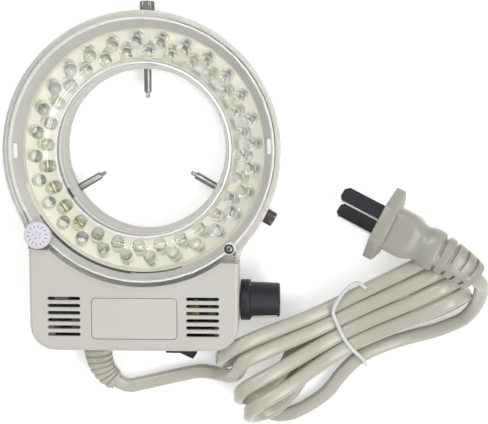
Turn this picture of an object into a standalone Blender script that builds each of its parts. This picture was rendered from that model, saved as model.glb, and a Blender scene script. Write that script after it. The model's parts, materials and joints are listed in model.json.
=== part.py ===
"""Microscope ring light: a ring of clear lamps round a bore with three thumbscrews, a control box
with a dimmer knob and a rocker switch, and a flat mains cord folded into a tied hank.

The lamp lies on its back, lamps up (+Z), control box towards -Y, knob towards +X. All lengths are
metres. The pieces are modelled about the ring's axis, and one empty then moves the whole lamp so
that the origin is the middle of its base.
"""
import math

import bpy
import bmesh
from mathutils import Matrix, Vector

MM = 0.001
TURN = 2 * math.pi

# Clearances
GAP = 0.3 * MM
RUN_GAP = 0.2 * MM
OVERRUN = 2.0 * MM
OVERLAP = 0.2 * MM

# Lamp as a whole. Its other sizes keep their shares of these two: WIDE is one part in 52.2 of the
# ring's radius and HIGH one part in 30 of the height.
RING_R = 52.2 * MM
TOTAL_HEIGHT = 30.0 * MM
WIDE = RING_R / 52.2
HIGH = TOTAL_HEIGHT / 30.0
SPLIT_Z = 22.0 * HIGH
BORE_R = 32.0 * WIDE
REAR_LIP_R = 30.5 * WIDE
WALL = 2.2 * MM
FLOOR = 2.2 * HIGH
BASE_DRAFT = 0.9 * MM
BASE_CHAMFER = 0.8 * MM

# Control box
BOX_RIGHT_X = 36.1 * WIDE
BOX_LEFT_X = -43.1 * WIDE
BOX_BOTTOM_Y = -75.8 * WIDE
BOX_CORNER_R = 9.5 * WIDE
RIGHT_FILLET_R = 18.7 * WIDE
LEFT_FILLET_R = 27.6 * WIDE
FACE_Z = 29.0 * HIGH
FACE_WALL = 2.0 * MM
FACE_EDGE = 1.2 * MM

# Ring wall and collar of the lower shell
RING_WALL_R = 49.8 * WIDE
RING_WALL = 1.6 * WIDE
RING_WALL_TOP_Z = 27.6 * HIGH
LEDGE_R = 45.9 * WIDE
LEDGE_STEP = 1.3 * MM
COLLAR_R = 35.6 * WIDE
COLLAR_STEP_R = 33.8 * WIDE
COLLAR_STEP_H = 0.6 * MM
WIRE_NOTCH_W = 10.0 * MM
WIRE_NOTCH_H = 6.0 * HIGH
WIRE_NOTCH_Z = 6.0 * HIGH

# Clear cover
COVER_WALL = 2.0 * HIGH
COVER_TUBE = 1.5 * WIDE
COVER_EDGE_R = 51.2 * WIDE
COVER_ROUND = 0.7 * MM
COVER_LIP = 2.0 * MM
EAR_RIGHT_Y = -41.5 * WIDE
EAR_LEFT_Y = -36.9 * WIDE
COVER_SCREW_RIGHT = (32.8 * WIDE, -36.6 * WIDE)
COVER_SCREW_LEFT = (-39.3 * WIDE, -31.6 * WIDE)
POCKET_R = 2.8 * MM
SEAL_R = 5.2 * MM
SEAL_T = 0.25 * MM

# Screws
SCREW_HEAD_R = 1.5 * MM
SCREW_HEAD_H = 1.0 * MM
SCREW_R = 1.0 * MM
SCREW_LENGTH = 11.0 * HIGH
SCREW_HOLE_R = 1.3 * MM
POST_R = 2.5 * MM
CASE_HEAD_R = 1.8 * MM
CASE_HEAD_H = 1.4 * MM
CASE_SINK = 0.4 * MM
CASE_SCREW_INSET = 7.0 * MM
CASE_POST_TOP_Z = 11.7 * HIGH
CASE_HOLE_TOP_Z = 23.0 * HIGH

# Lamps and their carrier
CONE_ANGLE = math.radians(22)
CARRIER_R = 45.6 * WIDE
CARRIER_Z = 19.2 * HIGH
CARRIER_T = 1.6 * HIGH
CARRIER_INNER_GAP = 0.5 * MM
CARRIER_INNER_R = BORE_R + COVER_TUBE + CARRIER_INNER_GAP
CARRIER_INNER_Z = CARRIER_Z - (CARRIER_R - CARRIER_INNER_R) * math.tan(CONE_ANGLE) - CARRIER_T
COLLAR_STEP_Z = CARRIER_INNER_Z - GAP
COLLAR_TOP_Z = COLLAR_STEP_Z - COLLAR_STEP_H
LAMP_COUNT = 28
LAMP_R = 2.5 * WIDE
LAMP_LENGTH = 8.4 * HIGH
LAMP_SIDES = 8
OUTER_ROW_R = 42.4 * WIDE
INNER_ROW_R = 38.5 * WIDE
FIRST_LAMP = math.radians(3.3)
SEAT_W = 1.2 * WIDE
SEAT_T = 0.6 * MM
SEAT_RAISE = 0.15 * MM
RING_BOARD_R = 44.0 * WIDE
RING_BOARD_INNER_R = 36.4 * WIDE
BOARD_T = 1.6 * MM

# Thumbscrews
THUMB_ANGLES = {"top": math.radians(90), "left": math.radians(210), "right": math.radians(330)}
THUMB_Z = 6.0 * HIGH
PIN_R = 1.5 * MM
PIN_HOLE_R = 1.8 * MM
NOSE_R = 0.85 * MM
NOSE_LENGTH = 2.1 * MM
NOSE_SIDES = 8
SPIGOT_R = 0.6 * MM
SPIGOT_LENGTH = 2.4 * MM
PIN_TIP_R = 19.1 * WIDE
HEAD_SETBACK = 0.2 * MM
HEAD_START_R = RING_R - HEAD_SETBACK
HEAD_LENGTH = 4.4 * MM
HEAD_R = 2.9 * MM
KNURL_DEPTH = 0.25 * MM
KNURLS = 16
HEAD_BORE_DEPTH = 3.4 * MM
INSERT_R = 2.6 * MM
INSERT_SETBACK = 8.5 * WIDE
INSERT_START_R = HEAD_START_R - INSERT_SETBACK
INSERT_LENGTH = 6.0 * WIDE
BOSS_W = 8.0 * MM
BOSS_TOP_Z = 10.0 * HIGH

# Vents and label
VENT_LENGTH = 12.7 * WIDE
VENT_H = 1.4 * WIDE
VENT_PITCH = 2.74 * WIDE
VENT_ROWS = 6
VENT_TOP_Y = -55.8 * WIDE
VENT_X = (-29.9 * WIDE, 22.7 * WIDE)
LABEL_W = 32.7 * WIDE
LABEL_H = 15.9 * WIDE
LABEL_X = -3.2 * WIDE
LABEL_Y = -63.4 * WIDE
LABEL_CORNER = 1.6 * MM
LABEL_DEPTH = 0.7 * MM
LABEL_T = 0.25 * MM

# Dimmer
DIMMER_Y = -58.0 * WIDE
DIMMER_Z = 14.8 * HIGH
POT_R = 6.2 * MM
POT_LENGTH = 7.5 * MM
BUSH_R = 3.5 * MM
BUSH_LENGTH = 2.4 * MM
BUSH_HOLE_R = 3.9 * MM
SHAFT_R = 2.6 * MM
SHAFT_LENGTH = 9.6 * MM
NUT_R = 5.2 * MM
NUT_T = 1.6 * MM
KNOB_SKIRT_R = 7.9 * MM
KNOB_SKIRT_L = 4.2 * MM
KNOB_R = 6.9 * MM
KNOB_TIP_R = 6.6 * MM
KNOB_LENGTH = 15.0 * MM
KNOB_DOME = 0.6 * MM
KNOB_CUP_R = 5.9 * MM
KNOB_CUP_DEPTH = 3.0 * MM
POINTER_W = 2.4 * MM
POINTER_DEPTH = 0.8 * MM
POINTER_LENGTH = 9.0 * MM
POINTER_ANGLE = math.radians(155)
POT_BOARD = (9.0 * WIDE, 11.0 * WIDE)

# Rocker switch
SWITCH_X = 13.8 * WIDE
SWITCH_Z = 15.0 * HIGH
BEZEL_HALF = 8.2 * MM
BEZEL_HALF_H = 5.2 * MM
BEZEL_T = 1.2 * MM
SWITCH_BODY_HALF = 7.6 * MM
SWITCH_BODY_HALF_H = 4.4 * MM
SWITCH_DEPTH = 10.0 * MM
ROCKER_POCKET_HALF = 6.95 * MM
ROCKER_POCKET_HALF_H = 3.5 * MM
ROCKER_POCKET_DEPTH = 6.7 * MM
ROCKER_HALF_H = 3.2 * MM
ROCKER_TILT = math.radians(12.5)
ROCKER_PIVOT_DEPTH = 2.1 * MM
ROCKER_TIP = (5.3 * MM, 4.5 * MM)
ROCKER_SIDE = (6.2 * MM, 2.4 * MM)
ROCKER_WIDEST = (6.5 * MM, 0.3 * MM)
ROCKER_KEEL = (3.0 * MM, -2.6 * MM)
ROCKER_VALLEY = 3.4 * MM
ROCKER_PIN_R = 0.7 * MM
TERMINAL_W = 4.8 * MM
TERMINAL_T = 0.8 * MM
TERMINAL_L = 5.5 * MM
TERMINAL_X = 4.0 * MM

# Boards and parts in the box
DRIVER_X = (-38.0 * WIDE, 21.0 * WIDE)
DRIVER_Y = (-63.0 * WIDE, -51.0 * WIDE)
DRIVER_Z = 5.3 * HIGH
STANDOFF_R = 2.2 * MM
BOARD_SCREW_INSET = 2.6 * MM
BOARD_SCREW_L = 4.2 * MM
CORE_X = -20.0 * WIDE
CORE_W = 16.0 * WIDE
CORE_H = 13.0 * HIGH
CORE_D = 4.6 * WIDE
CORE_LEG = 4.4 * WIDE
CORE_WINDOW = (3.6 * WIDE, 7.6 * HIGH)
COIL_D = 2.6 * WIDE
CAP_X = -32.4 * WIDE
CAP_SETBACK = 0.5 * MM
CAP_R = 3.6 * WIDE
CAP_H = 13.0 * HIGH
FILM_X = -6.5 * WIDE
FILM_SIZE = (8.0 * WIDE, 4.0 * WIDE, 8.0 * HIGH)
CHOKE_X = 2.2 * WIDE
CHOKE_R = 4.0 * WIDE
CHOKE_HOLE_R = 1.4 * WIDE
CHOKE_T = 3.6 * MM
RECTIFIER_X = 11.5 * WIDE
RECTIFIER_SIZE = (7.0 * WIDE, 3.0 * WIDE, 6.0 * HIGH)
FUSE_R = 2.0 * WIDE
FUSE_L = 11.0 * WIDE
FUSE_Y = -53.2 * WIDE
PARTS_Y = -57.0 * WIDE

# Cord, its entry and its clamp
CORD_R = 2.5 * MM
ENTRY_X = -20.0 * WIDE
ENTRY_Z = 10.5 * HIGH
BOOT_FLANGE = (13.0 * MM, 9.6 * MM)
BOOT_FLANGE_T = 1.6 * MM
BOOT_NECK = (9.4 * MM, 6.6 * MM)
BOOT_ROOT = (11.6 * MM, 8.4 * MM)
BOOT_TIP = (8.2 * MM, 6.2 * MM)
BOOT_RIBS = 8
BOOT_RIB_DEPTH = 0.5 * MM
BOOT_TIP_POINT = (ENTRY_X + 6.4 * MM, BOX_BOTTOM_Y - 16.5 * MM, 4.3 * MM)
BOOT_TIP_HEADING = (0.78, -0.58, -0.22)
SHEATH_R = 2.2 * MM
SHEATH_LENGTH = 7.0 * WIDE
CLAMP_SPAN = 14.0 * MM
CLAMP_W = 4.0 * WIDE
CLAMP_T = 2.4 * MM
CLAMP_END = 2.6 * MM
CLAMP_SETBACK = 4.0 * WIDE
CLAMP_SCREW_L = 7.6 * MM
WIRE_R = 0.6 * MM
WIRE_STEP = 2.9 * MM
WIRE_X = {"lamp_wire_red": -2.0 * MM, "lamp_wire_black": 2.0 * MM}
WIRE_INSET = 3.0 * MM
WIRE_DROP = 2.0 * MM
WIRE_RISE = 2.6 * MM
WIRE_END_INSET = 1.6 * MM

# Free cord: the ends that lie on the floor, as points of its route
FLOOR_LEVEL = 2.6 * MM
LEAD_ROUTE = [
    (ENTRY_X + 17.5 * MM, BOX_BOTTOM_Y - 18.5 * MM, FLOOR_LEVEL),
]
# The tail's points, from the middle of the hank
TAIL_ROUTE = [
    (45.8 * MM, 0.9 * MM, 3.6 * MM),
    (49.1 * MM, 4.3 * MM, 6.4 * MM),
    (51.4 * MM, 8.7 * MM, 10.6 * MM),
    (52.3 * MM, 13.3 * MM, 15.4 * MM),
    (52.1 * MM, 16.9 * MM, 20.0 * MM),
]

# Hank: places along its length (u), across it (v) and above the floor (z)
HANK_CENTRE = (BOX_RIGHT_X + 39.4 * MM, BOX_BOTTOM_Y + 7.3 * MM)
HANK_HEADING = math.radians(27.7)
TURN_U = 39.0 * MM
TURN_REACH = 9.0 * MM
RUN_POINTS = 8
TURN_POINTS = 4
TOP_SLOT = (1, 0, 2, 3)
WAIST_PITCH = 5.6 * MM
RIGHT_PITCH = 6.1 * MM
LEFT_V = (13.0 * MM, 6.5 * MM, -2.5 * MM, -10.5 * MM)
LEFT_LEAN = -7.0 * MM
RIGHT_LEAN = -4.0 * MM
LOW_WAIST_V = (7.3 * MM, 1.7 * MM, -3.9 * MM, -9.5 * MM)
LOW_LEFT_Z = (2.6 * MM, 8.6 * MM, 8.6 * MM)
LOW_WAIST_Z = 4.8 * MM
TOP_WAIST_Z = 10.7 * MM
TOP_LEFT_Z = 22.6 * MM
TOP_RIGHT_Z = 20.0 * MM
CROSS_RIGHT_U = (12.0 * MM, 37.0 * MM)
CROSS_LEFT_U = (12.0 * MM, 15.0 * MM, 7.0 * MM)
CROSS_RISE = 6.2 * MM
CROSS_NEAR_U = 7.5 * MM
CROSS_NEAR_L = 10.0 * MM
CROSS_FAR_L = 11.0 * MM
WAIST_HALF = 12.0 * MM
LEFT_CLIMB_U = 3.0 * MM
LEFT_CLIMB_L = 16.0 * MM
HANK_START = [(-67.4 * MM, 10.6 * MM, FLOOR_LEVEL), (-58.9 * MM, 8.0 * MM, FLOOR_LEVEL)]
HANK_START += [(-53.0 * MM, 4.4 * MM, 4.6 * MM)]
HANK_START += [(-48.0 * MM, 2.2 * MM, 11.0 * MM), (-43.5 * MM, 3.6 * MM, 18.4 * MM)]
HANK_FINISH = [(-26.0 * MM, -10.3 * MM, FLOOR_LEVEL), (-36.0 * MM, -10.8 * MM, FLOOR_LEVEL)]
HANK_FINISH += [(-42.4 * MM, -14.0 * MM, FLOOR_LEVEL), (-41.6 * MM, -20.0 * MM, FLOOR_LEVEL)]
HANK_FINISH += [(-34.0 * MM, -23.4 * MM, FLOOR_LEVEL), (-20.0 * MM, -22.6 * MM, FLOOR_LEVEL)]
HANK_FINISH += [(-9.0 * MM, -17.8 * MM, 4.0 * MM), (0.0 * MM, -15.1 * MM, 4.8 * MM)]
HANK_FINISH += [(9.0 * MM, -15.4 * MM, 4.0 * MM), (19.0 * MM, -17.2 * MM, FLOOR_LEVEL)]
HANK_FINISH += [(29.0 * MM, -19.4 * MM, FLOOR_LEVEL), (31.5 * MM, -19.9 * MM, FLOOR_LEVEL)]
HANK_STEP = 8.9 * MM
GAP_STEPS = 6

# Plug: its front plate, body, neck, bulge and ribbed tail, one behind another
PLUG_FACE = (HANK_CENTRE[0] + 13.2 * MM, HANK_CENTRE[1] + 42.2 * MM, 28.6 * MM)
PLUG_HEADING = math.radians(-26.8)
PLUG_DIP = math.radians(10.0)
PLUG_REST = 22.0 * MM
FLANGE_HALF_W = 14.6 * MM
FLANGE_HALF_H = 9.2 * MM
FLANGE_FLAT_HALF = 7.0 * MM
FLANGE_EDGE_T = 3.8 * MM
FLANGE_T = 6.6 * MM
PLUG_BODY = (17.4 * MM, 14.0 * MM)
PLUG_NECK = (14.0 * MM, 11.6 * MM)
PLUG_BULGE = (15.8 * MM, 13.0 * MM)
PLUG_RIB = (14.0 * MM, 11.8 * MM)
PLUG_END = (12.0 * MM, 9.6 * MM)
BODY_L = 8.0 * MM
NECK_L = 3.6 * MM
BULGE_L = 7.0 * MM
PLUG_RIBS = 4
PLUG_RIB_PITCH = 3.8 * MM
PLUG_BEND = math.radians(42)
PLUG_BEND_TOWARDS = (-0.40, -0.92)
PLUG_RIB_DEPTH = 0.9 * MM
BLADE_SPACING = 12.7 * MM
BLADE_TILT = math.radians(58)
BLADE_W = 6.3 * MM
BLADE_T = 1.5 * MM
BLADE_LENGTH = 16.6 * MM
BLADE_SEAT = 4.0 * MM
BLADE_NOSE = 1.6 * MM

# Twist tie, as points across the hank (v) and above the floor (z)
TIE_R = 0.8 * MM
TIE_ROUTE = [
    (15.1 * MM, 9.6 * MM, 18.0 * MM),
    (12.9 * MM, 13.2 * MM, 17.4 * MM),
    (7.4 * MM, 12.4 * MM, 16.8 * MM),
    (2.7 * MM, 9.9 * MM, 15.6 * MM),
    (-0.6 * MM, 6.8 * MM, 15.0 * MM),
    (-1.2 * MM, 2.4 * MM, 14.8 * MM),
    (-1.6 * MM, -3.0 * MM, 14.8 * MM),
    (-0.8 * MM, -9.0 * MM, 14.8 * MM),
    (0.9 * MM, -14.8 * MM, 12.2 * MM),
    (0.6 * MM, -19.0 * MM, 6.2 * MM),
    (0.2 * MM, -18.6 * MM, 1.9 * MM),
    (0.0 * MM, -14.0 * MM, 1.1 * MM),
    (0.2 * MM, -6.0 * MM, 1.1 * MM),
    (0.5 * MM, 2.0 * MM, 1.1 * MM),
    (1.0 * MM, 9.6 * MM, 1.2 * MM),
    (1.6 * MM, 12.8 * MM, 4.4 * MM),
    (3.0 * MM, 13.8 * MM, 8.8 * MM),
    (6.0 * MM, 14.9 * MM, 12.6 * MM),
    (9.5 * MM, 16.2 * MM, 14.6 * MM),
]

# Facets
RING_STEP_DEG = 5
RING_SIDES = 48
BOARD_SIDES = 36
KNOB_SIDES = 24
ARC_STEPS = 5
ROUND_SIDES = 16
SMALL_SIDES = 10
SHADE_ANGLE = math.radians(35)
SNAP_DIGITS = 9

# Colour, roughness and metallic value of each finish
FINISHES = {
    "housing": ((0.58, 0.56, 0.51), 0.45, 0.0),
    "clear": ((0.80, 0.83, 0.82), 0.08, 0.0),
    "cream": ((0.82, 0.79, 0.62), 0.5, 0.0),
    "lamp": ((0.85, 0.87, 0.80), 0.05, 0.0),
    "board": ((0.04, 0.22, 0.12), 0.4, 0.0),
    "steel": ((0.45, 0.45, 0.44), 0.25, 1.0),
    "dark_steel": ((0.05, 0.055, 0.06), 0.35, 0.8),
    "brass": ((0.70, 0.52, 0.22), 0.3, 1.0),
    "black": ((0.03, 0.033, 0.037), 0.45, 0.0),
    "cord": ((0.50, 0.49, 0.41), 0.4, 0.0),
    "pale": ((0.75, 0.75, 0.72), 0.5, 0.0),
    "copper": ((0.60, 0.26, 0.10), 0.35, 0.8),
    "ferrite": ((0.06, 0.06, 0.065), 0.7, 0.0),
    "red": ((0.50, 0.03, 0.02), 0.5, 0.0),
    "blue": ((0.03, 0.10, 0.35), 0.5, 0.0),
    "seal": ((0.85, 0.75, 0.77), 0.5, 0.0),
}


def clear_scene():
    """Remove every object."""
    for item in list(bpy.data.objects):
        bpy.data.objects.remove(item)


def finish(name):
    """Return the material of a finish, made on first use."""
    if name in bpy.data.materials:
        return bpy.data.materials[name]
    colour, roughness, metallic = FINISHES[name]
    material = bpy.data.materials.new(name)
    material.use_nodes = True
    shader = material.node_tree.nodes["Principled BSDF"]
    shader.inputs["Base Color"].default_value = (*colour, 1.0)
    shader.inputs["Roughness"].default_value = roughness
    shader.inputs["Metallic"].default_value = metallic
    return material


def add_object(name, data):
    """Link a new object that carries this data."""
    item = bpy.data.objects.new(name, data)
    bpy.context.scene.collection.objects.link(item)
    return item


def set_finish(item, name):
    """Give an object its own copy of a finish."""
    material = finish(name).copy()
    material.name = item.name + "_finish"
    item.data.materials.clear()
    item.data.materials.append(material)
    return item


def smooth(item):
    """Shade round surfaces smooth and keep the edges crisp."""
    item.data.shade_smooth()
    item.data.set_sharp_from_angle(angle=SHADE_ANGLE)
    return item


def mesh_from(name, bm):
    """Turn a bmesh into an object with its faces pointing out."""
    bmesh.ops.recalc_face_normals(bm, faces=bm.faces)
    mesh = bpy.data.meshes.new(name)
    bm.to_mesh(mesh)
    bm.free()
    return add_object(name, mesh)


def snapped(point):
    """Return a point without the rounding dust of sines and cosines near zero."""
    return [round(value, SNAP_DIGITS) for value in point]


def loft(name, loops, cyclic=False):
    """Skin a row of closed loops; a cyclic row closes on itself, any other gets two caps."""
    bm = bmesh.new()
    rows = [[bm.verts.new(snapped(point)) for point in loop] for loop in loops]
    count = len(rows[0])
    pairs = list(zip(rows, rows[1:]))
    if cyclic:
        pairs.append((rows[-1], rows[0]))
    else:
        bm.faces.new(rows[0])
        bm.faces.new(rows[-1])
    for low, high in pairs:
        for i in range(count):
            j = (i + 1) % count
            bm.faces.new((low[i], low[j], high[j], high[i]))
    return mesh_from(name, bm)


def circle(radius, sides, z=0.0, centre=(0.0, 0.0), phase=0.0):
    """Return the points of a circle at a height."""
    points = []
    for i in range(sides):
        angle = phase + TURN * i / sides
        x = centre[0] + radius * math.cos(angle)
        y = centre[1] + radius * math.sin(angle)
        points.append((x, y, z))
    return points


def turned(name, stations, sides=ROUND_SIDES, centre=(0.0, 0.0), phase=0.0):
    """Turn a solid about Z from (radius, height) stations."""
    return loft(name, [circle(r, sides, z, centre, phase) for r, z in stations])


def ring_of(name, profile, sides, phase=0.0):
    """Turn a closed (radius, height) profile that stays clear of the axis."""
    loops = []
    for i in range(sides):
        angle = phase + TURN * i / sides
        loops.append([(r * math.cos(angle), r * math.sin(angle), z) for r, z in profile])
    return loft(name, loops, cyclic=True)


def prism(name, outline, low, high):
    """Extrude an outline of (x, y) points between two heights."""
    return loft(name, [[(x, y, z) for x, y in outline] for z in (low, high)])


def block(name, low, high):
    """Make a box from its lowest and highest corners."""
    outline = [(low[0], low[1]), (high[0], low[1]), (high[0], high[1]), (low[0], high[1])]
    return prism(name, outline, low[2], high[2])


def box_about(name, centre, size):
    """Make a box from its centre and its size."""
    low = [c - s / 2 for c, s in zip(centre, size)]
    high = [c + s / 2 for c, s in zip(centre, size)]
    return block(name, low, high)


def turn_to(item, matrix):
    """Move an object's mesh by a matrix."""
    item.data.transform(matrix)
    return item


def along(direction, origin):
    """Return the matrix that turns +Z to a direction and moves to an origin."""
    turn = Vector(direction).to_track_quat("Z", "Y").to_matrix().to_4x4()
    return Matrix.Translation(Vector(origin)) @ turn


def is_closed(mesh):
    """Tell whether every edge of a mesh has two faces."""
    uses = {}
    for face in mesh.polygons:
        for key in face.edge_keys:
            uses[key] = uses.get(key, 0) + 1
    return all(count == 2 for count in uses.values())


def combined_mesh(item, tool, operation, solver):
    """Return the mesh of one Boolean."""
    modifier = item.modifiers.new("combine", "BOOLEAN")
    modifier.operation = operation
    modifier.solver = solver
    modifier.object = tool
    bpy.context.view_layer.update()
    graph = bpy.context.evaluated_depsgraph_get()
    mesh = bpy.data.meshes.new_from_object(item.evaluated_get(graph))
    item.modifiers.clear()
    return mesh


def combine(item, tools, operation):
    """Apply one Boolean per tool, with the manifold solver where the exact one leaves a hole."""
    for tool in tools:
        mesh = combined_mesh(item, tool, operation, "EXACT")
        if not is_closed(mesh):
            mesh = combined_mesh(item, tool, operation, "MANIFOLD")
        item.data = mesh
        bpy.data.objects.remove(tool)
    return item


def cut(item, *tools):
    """Cut tools out of an object."""
    return combine(item, tools, "DIFFERENCE")


def fuse(item, *tools):
    """Join tools to an object."""
    return combine(item, tools, "UNION")


def merged(name, items):
    """Join objects that stay apart into one mesh, to use as one tool."""
    bm = bmesh.new()
    for item in items:
        bm.from_mesh(item.data)
        bpy.data.objects.remove(item)
    return mesh_from(name, bm)


def made(item, finish_name, is_round=True):
    """Finish a piece: its material and its shading."""
    set_finish(item, finish_name)
    if is_round:
        smooth(item)
    return item


def arc(centre, radius, start, end, steps=ARC_STEPS):
    """Return points on an arc from one angle to another."""
    points = []
    for i in range(steps + 1):
        angle = start + (end - start) * i / steps
        points.append((centre[0] + radius * math.cos(angle), centre[1] + radius * math.sin(angle)))
    return points


def fillet(side, inset):
    """Return the centre and radius of the fillet between the ring and a side of the box."""
    if side == "right":
        radius = RIGHT_FILLET_R + inset
        x = BOX_RIGHT_X - inset + radius
    else:
        radius = LEFT_FILLET_R + inset
        x = BOX_LEFT_X + inset - radius
    reach = RING_R - inset + radius
    return (x, -math.sqrt(reach * reach - x * x)), radius


def fillet_start(side, inset, y):
    """Return the angle about the fillet's centre at which it passes a height y."""
    centre, radius = fillet(side, inset)
    rise = max(0.0, min(1.0, (y - centre[1]) / radius))
    if side == "right":
        return math.pi - math.asin(rise)
    return math.asin(rise)


def right_fillet(inset, y):
    """Return the fillet's points from a height y up to the ring."""
    centre, radius = fillet("right", inset)
    end = math.atan2(-centre[1], -centre[0])
    return arc(centre, radius, fillet_start("right", inset, y), end)


def left_fillet(inset, y):
    """Return the fillet's points from the ring down to a height y."""
    centre, radius = fillet("left", inset)
    start = math.atan2(-centre[1], -centre[0])
    return arc(centre, radius, start, fillet_start("left", inset, y))


def ring_arc(inset):
    """Return the ring's points over the top, between the two fillets."""
    right, _ = fillet("right", inset)
    left, _ = fillet("left", inset)
    start = math.degrees(math.atan2(right[1], right[0]))
    end = math.degrees(math.atan2(left[1], left[0])) + math.degrees(TURN)
    points = []
    angle = math.ceil(start / RING_STEP_DEG + 0.5) * RING_STEP_DEG
    while angle < end - RING_STEP_DEG / 2:
        theta = math.radians(angle)
        points.append(((RING_R - inset) * math.cos(theta), (RING_R - inset) * math.sin(theta)))
        angle += RING_STEP_DEG
    return points


def box_foot(inset):
    """Return the control box's lower corners, from the left side round to the right side."""
    radius = BOX_CORNER_R - inset
    y = BOX_BOTTOM_Y + inset + radius
    left = arc((BOX_LEFT_X + inset + radius, y), radius, math.pi, 1.5 * math.pi)
    right = arc((BOX_RIGHT_X - inset - radius, y), radius, 1.5 * math.pi, TURN)
    return left + right


def lamp_outline(inset):
    """Return the outline of the ring and the box together."""
    low = fillet("right", inset)[0][1]
    left_low = fillet("left", inset)[0][1]
    return right_fillet(inset, low) + ring_arc(inset) + left_fillet(inset, left_low) + box_foot(inset)


def circle_crossing(radius, y):
    """Return how far from the middle a circle about the ring's axis passes a height y."""
    return math.sqrt(radius * radius - y * y)


def edge_arc(radius, left_y, right_y, steps=24):
    """Return the points of a circle's lower part, from the left ear to the right ear."""
    start = math.atan2(left_y, -circle_crossing(radius, left_y)) + TURN
    end = math.atan2(right_y, circle_crossing(radius, right_y)) + TURN
    return arc((0.0, 0.0), radius, start, end, steps)


def cover_outline(inset):
    """Return the clear cover's outline: the ring with its two ears."""
    right_y = EAR_RIGHT_Y + inset
    left_y = EAR_LEFT_Y + inset
    top = right_fillet(inset, right_y) + ring_arc(inset) + left_fillet(inset, left_y)
    return top + edge_arc(COVER_EDGE_R - inset, left_y, right_y)


def face_outline(inset):
    """Return the front housing's outline: the box with the ring taken out."""
    right_y = EAR_RIGHT_Y - GAP - inset
    left_y = EAR_LEFT_Y - GAP - inset
    lower = edge_arc(COVER_EDGE_R + GAP + inset, left_y, right_y)
    sides = right_fillet(inset, right_y)[0:1]
    left = left_fillet(inset, left_y)[-1:]
    return left + box_foot(inset) + sides + lower[::-1]


def radial(angle, distance, z):
    """Return a point at a distance from the ring's axis."""
    return (distance * math.cos(angle), distance * math.sin(angle), z)


def case_screw_places():
    """Return the places of the case screws, in the box's lower corners."""
    y = BOX_BOTTOM_Y + CASE_SCREW_INSET
    return {
        "left": (BOX_LEFT_X + CASE_SCREW_INSET, y),
        "right": (BOX_RIGHT_X - CASE_SCREW_INSET, y),
    }


def clamp_places():
    """Return the places of the cord clamp's two screws."""
    y = BOX_BOTTOM_Y + WALL + BOOT_FLANGE_T + CLAMP_SETBACK
    reach = CLAMP_SPAN / 2 - GAP
    return {"left": (ENTRY_X - reach, y), "right": (ENTRY_X + reach, y)}


def board_screw_places():
    """Return the places of the driver board's two screws."""
    y = DRIVER_Y[0] + BOARD_SCREW_INSET
    return {"left": (DRIVER_X[0] + BOARD_SCREW_INSET, y), "right": (DRIVER_X[1] - BOARD_SCREW_INSET, y)}


def make_tub():
    """Make the open shell of the ring and the box."""
    outer = [
        (BASE_DRAFT + BASE_CHAMFER, 0.0),
        (BASE_DRAFT, BASE_CHAMFER),
        (0.0, SPLIT_Z),
    ]
    inner = [(WALL, SPLIT_Z), (WALL + BASE_DRAFT, FLOOR)]
    loops = [[(x, y, z) for x, y in lamp_outline(inset)] for inset, z in outer + inner]
    return loft("rear_housing", loops)


def make_ring_wall():
    """Make the wall under the clear cover, with the sloping ledge that holds the carrier."""
    inner_r = RING_WALL_R - RING_WALL
    ledge_top = CARRIER_Z + LEDGE_STEP
    ledge_low = CARRIER_Z - CARRIER_T - GAP
    profile = [
        (RING_WALL_R, FLOOR - OVERLAP),
        (RING_WALL_R, RING_WALL_TOP_Z),
        (RING_WALL_R - COVER_ROUND, RING_WALL_TOP_Z),
        (LEDGE_R, ledge_top),
        (LEDGE_R, ledge_low),
        (LEDGE_R - LEDGE_STEP, ledge_low - LEDGE_STEP * math.tan(CONE_ANGLE)),
        (LEDGE_R - LEDGE_STEP, ledge_low - LEDGE_STEP - GAP),
        (inner_r, ledge_low - LEDGE_STEP),
        (inner_r, FLOOR - OVERLAP),
    ]
    return ring_of("ring_wall", profile, RING_SIDES)


def make_collar():
    """Make the opaque collar round the lower part of the bore."""
    profile = [
        (REAR_LIP_R - OVERLAP, 0.0),
        (REAR_LIP_R - OVERLAP, COLLAR_TOP_Z),
        (COLLAR_STEP_R, COLLAR_TOP_Z),
        (COLLAR_STEP_R, COLLAR_STEP_Z),
        (COLLAR_R, COLLAR_STEP_Z),
        (COLLAR_R, 0.0),
    ]
    return ring_of("collar", profile, RING_SIDES)


def make_thumb_boss(angle):
    """Make the boss that a thumbscrew's pin runs in."""
    start = COLLAR_R - GAP
    length = RING_WALL_R - GAP - start
    size = (length, BOSS_W, BOSS_TOP_Z - FLOOR + OVERLAP)
    centre = (start + length / 2, 0.0, FLOOR - OVERLAP + size[2] / 2)
    return turn_to(box_about("boss", centre, size), Matrix.Rotation(angle, 4, "Z"))


def make_channel(angle, radius, start, end):
    """Make a round cutter along a thumbscrew's line."""
    stations = [(radius, start), (radius, end)]
    tool = turned("channel", stations, phase=math.pi / ROUND_SIDES)
    direction = radial(angle, 1.0, 0.0)
    return turn_to(tool, along(direction, (0.0, 0.0, THUMB_Z)))


def make_post(place, radius, low, high, sides=ROUND_SIDES):
    """Make an upright post or cutter."""
    return turned("post", [(radius, low), (radius, high)], sides, place)


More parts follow.
